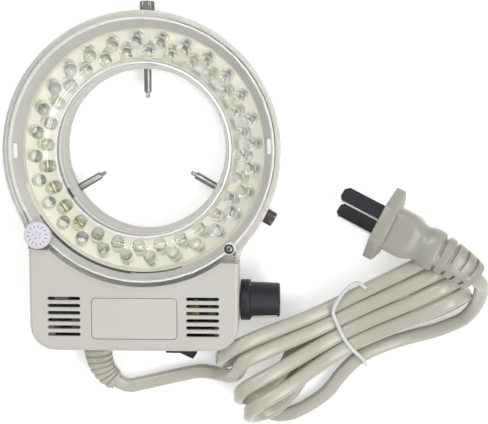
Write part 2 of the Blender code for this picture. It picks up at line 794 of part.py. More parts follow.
def rear_cutters():
    """Return everything that is cut out of the rear housing; its bore narrows towards the cover."""
    spread = (BORE_R - REAR_LIP_R) / COLLAR_TOP_Z * OVERRUN
    foot = (BORE_R + spread, -OVERRUN)
    lip = (REAR_LIP_R - spread, COLLAR_TOP_Z + OVERRUN)
    tools = [turned("bore", [foot, lip], RING_SIDES)]
    for angle in THUMB_ANGLES.values():
        tools.append(make_channel(angle, PIN_HOLE_R, REAR_LIP_R - OVERRUN, RING_R + OVERRUN))
        start = INSERT_START_R - GAP
        tools.append(make_channel(angle, INSERT_R + GAP, start, RING_R + OVERRUN))
    notch_y = -(RING_WALL_R - RING_WALL / 2)
    notch = (WIRE_NOTCH_W, RING_WALL + OVERRUN, WIRE_NOTCH_H)
    tools.append(box_about("notch", (0.0, notch_y, WIRE_NOTCH_Z), notch))
    for place in (COVER_SCREW_RIGHT, COVER_SCREW_LEFT):
        low = TOTAL_HEIGHT - COVER_WALL - SCREW_LENGTH - OVERRUN
        tools.append(make_post(place, SCREW_HOLE_R, low, TOTAL_HEIGHT, SMALL_SIDES))
    for place in case_screw_places().values():
        tools.append(make_post(place, SCREW_HOLE_R, -OVERRUN, CASE_POST_TOP_Z + OVERRUN, SMALL_SIDES))
        sink = CASE_SINK + CASE_HEAD_H + GAP
        tools.append(make_post(place, CASE_HEAD_R + GAP, -OVERRUN, sink))
    for place in list(clamp_places().values()) + list(board_screw_places().values()):
        tools.append(make_post(place, SCREW_HOLE_R, FLOOR, SPLIT_Z, SMALL_SIDES))
    tools += entry_cutters()
    return tools


def entry_cutters():
    """Return the holes for the dimmer's bush, the switch and the strain relief."""
    bush = turned("bush_hole", [(BUSH_HOLE_R, -OVERRUN - WALL), (BUSH_HOLE_R, WALL + OVERRUN)])
    turn_to(bush, along((1.0, 0.0, 0.0), (BOX_RIGHT_X, DIMMER_Y, DIMMER_Z)))
    depth = WALL + BASE_DRAFT + OVERRUN * 2
    size = (2 * (SWITCH_BODY_HALF + GAP), depth, 2 * (SWITCH_BODY_HALF_H + GAP))
    switch = box_about("switch_hole", (SWITCH_X, BOX_BOTTOM_Y, SWITCH_Z), size)
    points = rounded(BOOT_NECK[0] + 2 * GAP, BOOT_NECK[1] + 2 * GAP)
    loops = []
    for y in (BOX_BOTTOM_Y - depth / 2, BOX_BOTTOM_Y + depth / 2):
        loops.append([(ENTRY_X + a, y, ENTRY_Z + b) for a, b in points])
    return [bush, switch, loft("boot_hole", loops)]


def rounded(width, height, share=0.36):
    """Return an oblong section with cut corners, as shares of its width and height."""
    a = width / 2
    b = height / 2
    c = min(a, b) * share * 2 * (1 - math.sqrt(0.5))
    e = min(a, b) * share * 2
    corner = [(a, b - e), (a - c * 0.5, b - c * 0.5), (a - e, b)]
    points = corner + [(-x, y) for x, y in corner[::-1]]
    return points + [(-x, -y) for x, y in points]


def make_rear_housing():
    """Make the lower shell in one piece."""
    shell = make_tub()
    posts = [make_post(COVER_SCREW_RIGHT, POST_R, FLOOR - OVERLAP, RING_WALL_TOP_Z)]
    posts.append(make_post(COVER_SCREW_LEFT, POST_R, FLOOR - OVERLAP, RING_WALL_TOP_Z))
    for place in case_screw_places().values():
        posts.append(make_post(place, POST_R, FLOOR - OVERLAP, CASE_POST_TOP_Z))
    for place in clamp_places().values():
        top = ENTRY_Z + SHEATH_R
        posts.append(make_post(place, STANDOFF_R, FLOOR - OVERLAP, top, SMALL_SIDES))
    for place in board_screw_places().values():
        posts.append(make_post(place, STANDOFF_R, FLOOR - OVERLAP, DRIVER_Z - GAP, SMALL_SIDES))
    bosses = [make_thumb_boss(angle) for angle in THUMB_ANGLES.values()]
    fuse(shell, make_ring_wall(), make_collar(), *bosses, *posts)
    cut(shell, *rear_cutters())
    return made(shell, "housing")


def make_vent(x, y):
    """Make one round-ended vent cutter."""
    reach = (VENT_LENGTH - VENT_H) / 2
    right = arc((x + reach, y), VENT_H / 2, -math.pi / 2, math.pi / 2, 3)
    left = arc((x - reach, y), VENT_H / 2, math.pi / 2, 1.5 * math.pi, 3)
    return prism("vent", right + left, FACE_Z - FACE_WALL - OVERRUN, FACE_Z + OVERRUN)


def label_outline(inset):
    """Return the outline of the label recess or of the plate in it."""
    radius = LABEL_CORNER - inset
    x = LABEL_W / 2 - inset - radius
    y = LABEL_H / 2 - inset - radius
    points = []
    for quarter, (a, b) in enumerate(((x, y), (-x, y), (-x, -y), (x, -y))):
        start = quarter * math.pi / 2
        points += arc((LABEL_X + a, LABEL_Y + b), radius, start, start + math.pi / 2, 3)
    return points


def make_front_housing():
    """Make the upper shell of the control box."""
    low = SPLIT_Z + GAP
    outer = [(0.0, low), (0.0, FACE_Z - FACE_EDGE), (FACE_EDGE * 0.3, FACE_Z - FACE_EDGE * 0.3)]
    outer.append((FACE_EDGE, FACE_Z))
    shell = loft("front_housing", [[(x, y, z) for x, y in face_outline(i)] for i, z in outer])
    inside = FACE_Z - FACE_WALL
    cut(shell, prism("inside", face_outline(WALL), low - OVERRUN, inside))
    for place in case_screw_places().values():
        fuse(shell, make_post(place, POST_R, CASE_POST_TOP_Z + GAP, inside + OVERLAP))
    for place in case_screw_places().values():
        cut(shell, make_post(place, SCREW_HOLE_R, -OVERRUN, CASE_HOLE_TOP_Z, SMALL_SIDES))
    cut(shell, prism("label", label_outline(0.0), FACE_Z - LABEL_DEPTH, FACE_Z + OVERRUN))
    vents = [make_vent(x, VENT_TOP_Y - row * VENT_PITCH) for x in VENT_X for row in range(VENT_ROWS)]
    cut(shell, merged("vents", vents))
    return made(shell, "housing")


def make_clear_cover():
    """Make the clear cover: plate, skirt, ears and inner tube."""
    plate_low = TOTAL_HEIGHT - COVER_WALL
    edge = [(0.0, SPLIT_Z + GAP), (0.0, TOTAL_HEIGHT - COVER_ROUND)]
    edge += [(COVER_ROUND * 0.3, TOTAL_HEIGHT - COVER_ROUND * 0.3), (COVER_ROUND, TOTAL_HEIGHT)]
    cover = loft("clear_cover", [[(x, y, z) for x, y in cover_outline(i)] for i, z in edge])
    sides = RING_SIDES
    hollow_r = RING_WALL_R + GAP
    cut(cover, turned("hollow", [(hollow_r, 0.0), (hollow_r, plate_low)], sides))
    tube = [
        (BORE_R, COLLAR_TOP_Z + GAP),
        (BORE_R + COVER_TUBE, COLLAR_TOP_Z + GAP),
        (BORE_R + COVER_TUBE, plate_low + OVERLAP),
        (BORE_R, plate_low + OVERLAP),
    ]
    fuse(cover, ring_of("tube", tube, sides))
    bore = [(BORE_R, 0.0), (BORE_R, TOTAL_HEIGHT - COVER_LIP), (BORE_R + COVER_LIP, TOTAL_HEIGHT + OVERLAP)]
    cut(cover, turned("bore", bore, sides))
    for place in (COVER_SCREW_RIGHT, COVER_SCREW_LEFT):
        cut(cover, make_post(place, POCKET_R, SPLIT_Z, plate_low))
        cut(cover, make_post(place, SCREW_HOLE_R, SPLIT_Z, TOTAL_HEIGHT + OVERRUN, SMALL_SIDES))
        sink = TOTAL_HEIGHT - SCREW_HEAD_H - 2 * GAP
        cut(cover, make_post(place, SCREW_HEAD_R + GAP, sink, TOTAL_HEIGHT + OVERRUN))
    return made(cover, "clear")


def make_screw(name, place, top, head_r, head_h, length, finish_name, up=True):
    """Make a screw, its head above its shank, or below it for a screw from behind."""
    sign = 1 if up else -1
    stations = [(SCREW_R, top - sign * (head_h + length)), (SCREW_R, top - sign * head_h)]
    stations += [(head_r, top - sign * head_h), (head_r, top)]
    return made(turned(name, stations, SMALL_SIDES, place), finish_name)


def make_screws():
    """Make the cover, case, clamp and board screws."""
    top = TOTAL_HEIGHT - GAP
    for side, place in (("right", COVER_SCREW_RIGHT), ("left", COVER_SCREW_LEFT)):
        name = "cover_screw_" + side
        make_screw(name, place, top, SCREW_HEAD_R, SCREW_HEAD_H, SCREW_LENGTH, "black")
    for side, place in case_screw_places().items():
        name = "case_screw_" + side
        length = CASE_HOLE_TOP_Z - OVERRUN - CASE_HEAD_H - CASE_SINK
        make_screw(name, place, CASE_SINK, CASE_HEAD_R, CASE_HEAD_H, length, "steel", up=False)
    for side, place in clamp_places().items():
        clamp_top = ENTRY_Z + SHEATH_R + GAP + CLAMP_T + GAP + SCREW_HEAD_H
        make_screw("clamp_screw_" + side, place, clamp_top, SCREW_HEAD_R, SCREW_HEAD_H, CLAMP_SCREW_L, "steel")
    for side, place in board_screw_places().items():
        board_top = DRIVER_Z + BOARD_T + GAP + SCREW_HEAD_H
        make_screw("board_screw_" + side, place, board_top, SCREW_HEAD_R, SCREW_HEAD_H, BOARD_SCREW_L, "steel")


def cone_z(radius):
    """Return the height of the carrier's surface at a distance from the axis."""
    return CARRIER_Z - (CARRIER_R - radius) * math.tan(CONE_ANGLE)


def make_carrier():
    """Make the cream cone that the lamps lean on."""
    inner = CARRIER_INNER_R
    profile = [
        (inner, cone_z(inner)),
        (CARRIER_R, cone_z(CARRIER_R)),
        (CARRIER_R, cone_z(CARRIER_R) - CARRIER_T),
        (inner, cone_z(inner) - CARRIER_T),
    ]
    return made(ring_of("lamp_carrier", profile, RING_SIDES), "cream")


def make_lamp_row(name, row_r, phase):
    """Make a row of lamps that lean towards the axis, joined by their seat ring."""
    lift = GAP / math.cos(CONE_ANGLE)
    inner = row_r - SEAT_W / 2
    outer = row_r + SEAT_W / 2
    low = cone_z(row_r) + lift + SEAT_RAISE
    seat = [(inner, low), (outer, low), (outer, low + SEAT_T), (inner, low + SEAT_T)]
    row = ring_of(name, seat, LAMP_COUNT, phase)
    shoulder = LAMP_LENGTH - LAMP_R
    stations = [
        (LAMP_R, 0.0),
        (LAMP_R, shoulder),
        (LAMP_R * math.sqrt(0.5), shoulder + LAMP_R * math.sqrt(0.5)),
        (LAMP_R * 0.15, LAMP_LENGTH),
    ]
    lamps = []
    for i in range(LAMP_COUNT):
        angle = phase + TURN * i / LAMP_COUNT
        lamp = turned("lamp", stations, LAMP_SIDES)
        direction = radial(angle, -math.sin(CONE_ANGLE), math.cos(CONE_ANGLE))
        origin = radial(angle, row_r, cone_z(row_r) + lift)
        lamps.append(turn_to(lamp, along(direction, origin)))
    fuse(row, merged("lamps", lamps))
    return made(row, "lamp")


def make_ring_board():
    """Make the board under the lamps."""
    low = BOSS_TOP_Z + GAP
    profile = [
        (RING_BOARD_INNER_R, low),
        (RING_BOARD_INNER_R, low + BOARD_T),
        (RING_BOARD_R, low + BOARD_T),
        (RING_BOARD_R, low),
    ]
    return made(ring_of("ring_board", profile, BOARD_SIDES), "board")


def make_label_and_seal():
    """Make the bare label plate and the round seal over the left cover screw."""
    low = FACE_Z - LABEL_DEPTH + GAP
    made(prism("label_plate", label_outline(GAP), low, low + LABEL_T), "pale", False)
    top = TOTAL_HEIGHT + GAP
    stations = [(SEAL_R, top), (SEAL_R, top + SEAL_T)]
    made(turned("seal_sticker", stations, KNOB_SIDES, COVER_SCREW_LEFT), "seal")


def add_empty(name, place):
    """Add an empty on a joint's axis."""
    item = add_object(name, None)
    item.location = place
    return item


def hang(item, empty):
    """Parent a piece to an empty and keep it where it is."""
    item.data.transform(Matrix.Translation(-empty.location))
    item.parent = empty
    return item


def knurled(radius, z):
    """Return the outline of a knurled head at a height."""
    points = []
    for i in range(2 * KNURLS):
        angle = math.pi * i / KNURLS
        r = radius if i % 2 else radius - KNURL_DEPTH
        points.append((r * math.cos(angle), r * math.sin(angle), z))
    return points


def make_thumbscrew(side, angle):
    """Make a thumbscrew's brass insert, its swivelling tip, its pin and its knurled head."""
    frame = along(radial(angle, 1.0, 0.0), (0.0, 0.0, THUMB_Z))
    sleeve = [
        (PIN_R + RUN_GAP, INSERT_START_R),
        (PIN_R + RUN_GAP, INSERT_START_R + INSERT_LENGTH),
        (INSERT_R, INSERT_START_R + INSERT_LENGTH),
        (INSERT_R, INSERT_START_R),
    ]
    insert = turn_to(ring_of("thumb_insert_" + side, sleeve, ROUND_SIDES), frame)
    made(insert, "brass")
    neck = PIN_TIP_R + NOSE_LENGTH
    pin_end = HEAD_START_R + HEAD_BORE_DEPTH - GAP
    socket_r = SPIGOT_R + GAP / 2
    socket_end = neck + SPIGOT_LENGTH + GAP
    stations = [(socket_r, socket_end), (socket_r, neck), (PIN_R, neck), (PIN_R, pin_end)]
    pin = made(turn_to(turned("thumb_pin_" + side, stations, SMALL_SIDES), frame), "steel")
    stations = [
        (NOSE_R, PIN_TIP_R),
        (NOSE_R, neck - GAP),
        (SPIGOT_R, neck - GAP),
        (SPIGOT_R, neck + SPIGOT_LENGTH),
    ]
    tip = made(turn_to(turned("thumb_tip_" + side, stations, NOSE_SIDES), frame), "steel")
    head_end = HEAD_START_R + HEAD_LENGTH
    stations = [(HEAD_R - KNURL_DEPTH, HEAD_START_R), (HEAD_R, HEAD_START_R + KNURL_DEPTH)]
    stations += [(HEAD_R, head_end - KNURL_DEPTH), (HEAD_R - KNURL_DEPTH, head_end)]
    head = loft("thumb_head_" + side, [knurled(r, z) for r, z in stations])
    hole = [(PIN_HOLE_R, HEAD_START_R - OVERRUN), (PIN_HOLE_R, HEAD_START_R + HEAD_BORE_DEPTH)]
    cut(head, turned("head_bore", hole))
    made(turn_to(head, frame), "dark_steel")
    empty = add_empty("thumb_axis_" + side, radial(angle, HEAD_START_R, THUMB_Z))
    for piece in (tip, pin, head):
        hang(piece, empty)


def make_dimmer():
    """Make the potentiometer, its shaft and nut, and the knob with its pointer."""
    frame = along((1.0, 0.0, 0.0), (0.0, DIMMER_Y, DIMMER_Z))
    wall_in = BOX_RIGHT_X - WALL - BASE_DRAFT
    wall_out = BOX_RIGHT_X
    body_end = wall_in - GAP
    body = turned("dimmer_pot", [(POT_R, body_end - POT_LENGTH), (POT_R, body_end)])
    bush_end = wall_out + GAP + NUT_T + GAP
    fuse(body, turned("bush", [(BUSH_R, body_end - OVERLAP), (BUSH_R, bush_end)]))
    bore = [(SHAFT_R + RUN_GAP, body_end - POT_LENGTH / 2), (SHAFT_R + RUN_GAP, bush_end + OVERRUN)]
    cut(body, turned("shaft_bore", bore))
    made(turn_to(body, frame), "steel")
    nut = [
        (BUSH_R + GAP, wall_out + GAP),
        (BUSH_R + GAP, wall_out + GAP + NUT_T),
        (NUT_R, wall_out + GAP + NUT_T),
        (NUT_R, wall_out + GAP),
    ]
    made(turn_to(ring_of("dimmer_nut", nut, 6 * 3), frame), "steel")
    knob_start = wall_out + GAP
    cup_end = knob_start + KNOB_CUP_DEPTH
    shaft_start = body_end - POT_LENGTH / 2 + GAP
    shaft_end = cup_end + SHAFT_LENGTH - GAP
    shaft = turned("dimmer_shaft", [(SHAFT_R, shaft_start), (SHAFT_R, shaft_end)])
    made(turn_to(shaft, frame), "steel")
    tip = knob_start + KNOB_LENGTH
    stations = [
        (KNOB_SKIRT_R - GAP, knob_start),
        (KNOB_SKIRT_R, knob_start + GAP),
        (KNOB_SKIRT_R, knob_start + KNOB_SKIRT_L - KNOB_DOME),
        (KNOB_R, knob_start + KNOB_SKIRT_L),
        (KNOB_TIP_R, tip - KNOB_DOME),
        (KNOB_TIP_R - KNOB_DOME, tip),
    ]
    knob = turned("dimmer_knob", stations, KNOB_SIDES)
    cut(knob, turned("cup", [(KNOB_CUP_R, knob_start - OVERRUN), (KNOB_CUP_R, cup_end)]))
    hole = SHAFT_R + GAP
    cut(knob, turned("knob_bore", [(hole, cup_end - OVERRUN), (hole, cup_end + SHAFT_LENGTH)]))
    pointer_start = knob_start + KNOB_SKIRT_L + GAP
    reach = KNOB_R - POINTER_DEPTH
    groove = box_about(
        "groove",
        (reach + KNOB_R / 2, 0.0, pointer_start + POINTER_LENGTH / 2),
        (KNOB_R, POINTER_W + 2 * GAP, POINTER_LENGTH + 2 * GAP),
    )
    pointer_size = (POINTER_DEPTH - 2 * GAP, POINTER_W, POINTER_LENGTH)
    pointer_x = reach + GAP + pointer_size[0] / 2
    pointer = box_about("knob_pointer", (pointer_x, 0.0, pointer_start + POINTER_LENGTH / 2), pointer_size)
    to_side = Matrix.Rotation(POINTER_ANGLE, 4, "Z")
    cut(knob, turn_to(groove, to_side))
    turn_to(pointer, to_side)
    made(turn_to(knob, frame), "black")
    made(turn_to(pointer, frame), "pale", False)
    empty = add_empty("dimmer_axis", (BOX_RIGHT_X, DIMMER_Y, DIMMER_Z))
    for piece in (shaft, knob, pointer):
        hang(piece, empty)
    board_z = DIMMER_Z + POT_R + GAP
    centre_x = body_end - POT_LENGTH / 2
    low = (centre_x - POT_BOARD[0] / 2, DIMMER_Y - POT_BOARD[1] / 2, board_z)
    high = (centre_x + POT_BOARD[0] / 2, DIMMER_Y + POT_BOARD[1] / 2, board_z + BOARD_T)
    made(block("dimmer_board", low, high), "board", False)


def rocker_outline():
    """Return the rocker's section as (along, outwards) points about its pivot."""
    right = [ROCKER_KEEL, ROCKER_WIDEST, ROCKER_SIDE, ROCKER_TIP]
    left = [(-a, b) for a, b in right[::-1]]
    return right + [(0.0, ROCKER_VALLEY)] + left


def make_switch():
    """Make the switch's frame, rocker, pin and terminals."""
    bezel_out = BOX_BOTTOM_Y - GAP - BEZEL_T
    low = (SWITCH_X - BEZEL_HALF, bezel_out, SWITCH_Z - BEZEL_HALF_H)
    high = (SWITCH_X + BEZEL_HALF, BOX_BOTTOM_Y - GAP, SWITCH_Z + BEZEL_HALF_H)
    frame = block("switch_frame", low, high)
    back = bezel_out + BEZEL_T + SWITCH_DEPTH
    low = (SWITCH_X - SWITCH_BODY_HALF, BOX_BOTTOM_Y - GAP - OVERLAP, SWITCH_Z - SWITCH_BODY_HALF_H)
    high = (SWITCH_X + SWITCH_BODY_HALF, back, SWITCH_Z + SWITCH_BODY_HALF_H)
    fuse(frame, block("switch_body", low, high))
    half = (ROCKER_POCKET_HALF, ROCKER_POCKET_HALF_H)
    low = (SWITCH_X - half[0], bezel_out - OVERRUN, SWITCH_Z - half[1])
    high = (SWITCH_X + half[0], bezel_out + ROCKER_POCKET_DEPTH, SWITCH_Z + half[1])
    cut(frame, block("pocket", low, high))
    made(frame, "black", False)
    pivot = (SWITCH_X, bezel_out + ROCKER_PIVOT_DEPTH, SWITCH_Z)
    outline = [(a, -b) for a, b in rocker_outline()]
    rocker = prism("switch_rocker", outline, -ROCKER_HALF_H, ROCKER_HALF_H)
    hole_r = ROCKER_PIN_R + GAP
    cut(rocker, turned("pin_hole", [(hole_r, -ROCKER_HALF_H * 2), (hole_r, ROCKER_HALF_H * 2)], SMALL_SIDES))
    turn_to(rocker, Matrix.Rotation(-ROCKER_TILT, 4, "Z"))
    made(rocker, "black", False)
    empty = add_empty("rocker_axis", pivot)
    rocker.parent = empty
    reach = ROCKER_POCKET_HALF_H - RUN_GAP
    stations = [(ROCKER_PIN_R, SWITCH_Z - reach), (ROCKER_PIN_R, SWITCH_Z + reach)]
    made(turned("rocker_pin", stations, SMALL_SIDES, pivot[:2]), "steel")
    for side, sign in (("left", -1), ("right", 1)):
        centre = (SWITCH_X + sign * TERMINAL_X, back + GAP + TERMINAL_L / 2, SWITCH_Z)
        blade = box_about("switch_terminal_" + side, centre, (TERMINAL_W, TERMINAL_L, TERMINAL_T))
        made(blade, "brass", False)


def make_driver():
    """Make the driver board and what stands on it."""
    low = (DRIVER_X[0], DRIVER_Y[0], DRIVER_Z)
    high = (DRIVER_X[1], DRIVER_Y[1], DRIVER_Z + BOARD_T)
    board = block("driver_board", low, high)
    for place in board_screw_places().values():
        cut(board, make_post(place, SCREW_HOLE_R, 0.0, DRIVER_Z + OVERRUN * 2, SMALL_SIDES))
    made(board, "board", False)
    top = DRIVER_Z + BOARD_T + GAP
    make_transformer(top)
    stations = [(CAP_R, top), (CAP_R, top + CAP_H - GAP), (CAP_R - GAP, top + CAP_H)]
    place = (CAP_X, DRIVER_Y[1] - CAP_R - CAP_SETBACK)
    made(turned("filter_capacitor", stations, ROUND_SIDES, place), "pale")
    film = box_about("film_capacitor", (FILM_X, PARTS_Y, top + FILM_SIZE[2] / 2), FILM_SIZE)
    made(film, "blue", False)
    choke = [(CHOKE_HOLE_R, top), (CHOKE_HOLE_R, top + CHOKE_T), (CHOKE_R, top + CHOKE_T), (CHOKE_R, top)]
    choke_ring = turn_to(ring_of("choke", choke, ROUND_SIDES), Matrix.Translation((CHOKE_X, PARTS_Y, 0.0)))
    made(choke_ring, "copper")
    size = RECTIFIER_SIZE
    made(box_about("rectifier", (RECTIFIER_X, PARTS_Y, top + size[2] / 2), size), "black", False)
    fuse_line = turned("fuse", [(FUSE_R, -FUSE_L / 2), (FUSE_R, FUSE_L / 2)], SMALL_SIDES)
    turn_to(fuse_line, along((1.0, 0.0, 0.0), (RECTIFIER_X + FUSE_R, FUSE_Y, top + FUSE_R)))
    made(fuse_line, "steel")


def make_transformer(top):
    """Make the transformer's core with two windows, and the coil round its middle leg."""
    centre = (CORE_X, PARTS_Y, top + CORE_H / 2)
    core = box_about("transformer_core", centre, (CORE_W, CORE_D, CORE_H))
    offset = (CORE_LEG + CORE_WINDOW[0]) / 2
    for sign in (-1, 1):
        place = (CORE_X + sign * offset, PARTS_Y, centre[2])
        cut(core, box_about("window", place, (CORE_WINDOW[0], CORE_D * 2, CORE_WINDOW[1])))
    made(core, "ferrite", False)
    hole = (CORE_LEG + 2 * GAP, CORE_D + 2 * GAP, CORE_H)
    outer = (CORE_LEG + 2 * (CORE_WINDOW[0] - GAP), hole[1] + 2 * COIL_D, CORE_WINDOW[1] - 2 * GAP)
    coil = box_about("transformer_coil", centre, outer)
    cut(coil, box_about("leg_hole", centre, hole))
    made(coil, "copper", False)


def smooth_route(points, step):
    """Return points about a step apart on a smooth curve through the given points."""
    ends = [points[0] * 2 - points[1], points[-1] * 2 - points[-2]]
    chain = [ends[0]] + points + [ends[1]]
    fine = []
    for p0, p1, p2, p3 in zip(chain, chain[1:], chain[2:], chain[3:]):
        count = 24
        for i in range(count):
            t = i / count
            blend_in = p1 * 2 + (p2 - p0) * t + (p0 * 2 - p1 * 5 + p2 * 4 - p3) * t * t
            fine.append((blend_in + (p1 * 3 - p0 - p2 * 3 + p3) * t ** 3) / 2)
    fine.append(points[-1])
    lengths = [0.0]
    for a, b in zip(fine, fine[1:]):
        lengths.append(lengths[-1] + (b - a).length)
    count = max(2, round(lengths[-1] / step))
    route = []
    place = 0
    for i in range(count + 1):
        goal = lengths[-1] * i / count
        while place < len(lengths) - 2 and lengths[place + 1] < goal:
            place += 1
        share = (goal - lengths[place]) / max(lengths[place + 1] - lengths[place], 1e-9)
        route.append(fine[place].lerp(fine[place + 1], min(1.0, share)))
    return route


def make_tube(name, points, radius, finish_name, resolution=2):
    """Make a cord or wire as a bevelled curve with filled caps."""
    curve = bpy.data.curves.new(name, "CURVE")
    curve.dimensions = "3D"
    curve.bevel_depth = radius
    curve.bevel_resolution = resolution
    curve.use_fill_caps = True
    spline = curve.splines.new("POLY")
    spline.points.add(len(points) - 1)
    for target, point in zip(spline.points, points):
        target.co = (*point, 1.0)
    return set_finish(add_object(name, curve), finish_name)


def boot_frames():
    """Return the places and headings along the strain relief, from the wall to its tip."""
    start = Vector((ENTRY_X, BOX_BOTTOM_Y - GAP, ENTRY_Z))
    heading = Vector((0.0, -1.0, 0.0))
    tip = Vector(BOOT_TIP_POINT)
    tip_heading = Vector(BOOT_TIP_HEADING).normalized()
    pull = (tip - start).length
    frames = []
    steps = 2 * BOOT_RIBS + 1
    for i in range(steps + 1):
        t = i / steps
        h = (2 * t ** 3 - 3 * t ** 2 + 1, t ** 3 - 2 * t ** 2 + t, 3 * t ** 2 - 2 * t ** 3, t ** 3 - t ** 2)
        d = (6 * t ** 2 - 6 * t, 3 * t ** 2 - 4 * t + 1, 6 * t - 6 * t ** 2, 3 * t ** 2 - 2 * t)
        place = start * h[0] + heading * pull * h[1] + tip * h[2] + tip_heading * pull * h[3]
        slope = start * d[0] + heading * pull * d[1] + tip * d[2] + tip_heading * pull * d[3]
        frames.append((place, slope.normalized()))
    return frames


def section_at(place, heading, size):
    """Return an oblong section square to a heading, its long side level."""
    side = heading.cross(Vector((0.0, 0.0, 1.0))).normalized()
    rise = side.cross(heading).normalized()
    return [tuple(place + side * a + rise * b) for a, b in rounded(*size)]


def make_strain_relief():
    """Make the ribbed strain relief with its neck in the wall and its flange behind it."""
    heading = Vector((0.0, -1.0, 0.0))
    inner = BOX_BOTTOM_Y + WALL + BASE_DRAFT + GAP
    outer = BOX_BOTTOM_Y - GAP
    loops = []
    for y, size in (
        (inner + BOOT_FLANGE_T, BOOT_FLANGE),
        (inner, BOOT_FLANGE),
        (inner, BOOT_NECK),
        (outer, BOOT_NECK),
    ):
        loops.append(section_at(Vector((ENTRY_X, y, ENTRY_Z)), heading, size))
    frames = boot_frames()
    last = len(frames) - 1
    for i, (place, direction) in enumerate(frames):
        t = i / last
        slim = BOOT_RIB_DEPTH if i % 2 == 0 and 0 < i else 0.0
        width = BOOT_ROOT[0] + (BOOT_TIP[0] - BOOT_ROOT[0]) * t - 2 * slim
        height = BOOT_ROOT[1] + (BOOT_TIP[1] - BOOT_ROOT[1]) * t - 2 * slim
        loops.append(section_at(place, direction, (width, height)))
    return made(loft("strain_relief", loops), "cord")


def make_cord_entry():
    """Make the inner end of the cord and the clamp that holds it."""
    start = BOX_BOTTOM_Y + WALL + BASE_DRAFT + GAP + BOOT_FLANGE_T + GAP
    sheath = turned("cord_inner_end", [(SHEATH_R, 0.0), (SHEATH_R, SHEATH_LENGTH)], 12)
    made(turn_to(sheath, along((0.0, 1.0, 0.0), (ENTRY_X, start, ENTRY_Z))), "cord")
    places = clamp_places()
    y = places["left"][1]
    low_z = ENTRY_Z + SHEATH_R + GAP
    low = (places["left"][0] - CLAMP_END, y - CLAMP_W / 2, low_z)
    high = (places["right"][0] + CLAMP_END, y + CLAMP_W / 2, low_z + CLAMP_T)
    bar = block("cord_clamp", low, high)
    for place in places.values():
        cut(bar, make_post(place, SCREW_HOLE_R, low_z - OVERRUN, low_z + CLAMP_T + OVERRUN, SMALL_SIDES))
    made(bar, "pale", False)


def make_wires():
    """Make the two wires from the ring board to the driver board."""
    inner_y = -RING_BOARD_R + WIRE_INSET
    wall_y = -RING_WALL_R
    board_y = DRIVER_Y[1]
    top = DRIVER_Z + BOARD_T + GAP
    for name, x in WIRE_X.items():
        points = [
            Vector((x, inner_y, BOSS_TOP_Z)),
            Vector((x, inner_y - GAP, BOSS_TOP_Z - WIRE_DROP)),
            Vector((x, wall_y + RING_WALL, WIRE_NOTCH_Z)),
            Vector((x, wall_y - WALL / 2, top + WIRE_DROP)),
            Vector((x, board_y - WIRE_END_INSET / 2, top + WIRE_RISE)),
            Vector((x, board_y - WIRE_END_INSET, top)),
        ]
        make_tube(name, smooth_route(points, WIRE_STEP), WIRE_R, name.split("_")[-1])


def ease(value):
    """Return a smooth step from 0 to 1."""
    t = max(0.0, min(1.0, value))
    return t * t * (3 - 2 * t)


def between(low, high, share):
    """Return the value at a share of the way from low to high."""
    return low + (high - low) * share


def top_place(slot, u):
    """Return (v, z) of a top strand."""
    middle = (len(TOP_SLOT) - 1) / 2
    share = ease(abs(u) / TURN_U)
    waist = (middle - slot) * WAIST_PITCH
    end = LEFT_V[slot] if u < 0 else (middle - slot) * RIGHT_PITCH
    end_z = TOP_LEFT_Z if u < 0 else TOP_RIGHT_Z
    return between(waist, end, share), between(TOP_WAIST_Z, end_z, share)


def low_place(run, u):
    """Return (v, z) of a bottom strand; the first climbs over the second on its way."""
    waist = LOW_WAIST_V[run]
    z = between(FLOOR_LEVEL, LOW_WAIST_Z, ease(1 - abs(u) / WAIST_HALF))
    if u >= 0:
        end = top_place(TOP_SLOT[run], TURN_U)[0] + RIGHT_LEAN
        if run == 0:
            rise = ease((u - CROSS_NEAR_U) / CROSS_NEAR_L) * ease((TURN_U - u) / CROSS_FAR_L)
            z += CROSS_RISE * rise
        near, far = CROSS_RIGHT_U
        return between(waist, end, ease((u - near) / (far - near))), z
    if run + 1 == len(TOP_SLOT):
        return waist, z
    end = LEFT_V[TOP_SLOT[run + 1]] + LEFT_LEAN
    climb = ease((-u - LEFT_CLIMB_U) / LEFT_CLIMB_L) * (LOW_LEFT_Z[run] - FLOOR_LEVEL)
    near = CROSS_LEFT_U[run]
    return between(waist, end, ease((-u - near) / (TURN_U - near))), z + climb


def hank_turn(u, start, end, way):
    """Return the points inside a turn from one (v, z) place to another at an end of the hank."""
    points = []
    for i in range(1, TURN_POINTS + 1):
        angle = math.pi * i / (TURN_POINTS + 1)
        share = (1 - math.cos(angle)) / 2
        reach = u + way * TURN_REACH * math.sin(angle)
        points.append((reach, between(start[0], end[0], share), between(start[1], end[1], share)))
    return points


def hank_route():
    """Return the hank's route as (u, v, z): four loops, then a turn along the floor."""
    points = list(HANK_START)
    last = len(TOP_SLOT) - 1
    for run, slot in enumerate(TOP_SLOT):
        for i in range(RUN_POINTS + 1):
            u = between(-TURN_U, TURN_U, i / RUN_POINTS)
            points.append((u, *top_place(slot, u)))
        points += hank_turn(TURN_U, top_place(slot, TURN_U), low_place(run, TURN_U), 1)
        stop = RUN_POINTS if run < last else RUN_POINTS // 2 + 1
        for i in range(stop + 1):
            u = between(TURN_U, -TURN_U, i / RUN_POINTS)
            points.append((u, *low_place(run, u)))
        if run < last:
            start = low_place(run, -TURN_U)
            points += hank_turn(-TURN_U, start, top_place(TOP_SLOT[run + 1], -TURN_U), -1)
    return points + HANK_FINISH


def hank_place(u, v, z):
    """Turn a place in the hank's own directions into a point."""
    c = math.cos(HANK_HEADING)
    s = math.sin(HANK_HEADING)
    return Vector((HANK_CENTRE[0] + u * c - v * s, HANK_CENTRE[1] + u * s + v * c, z))


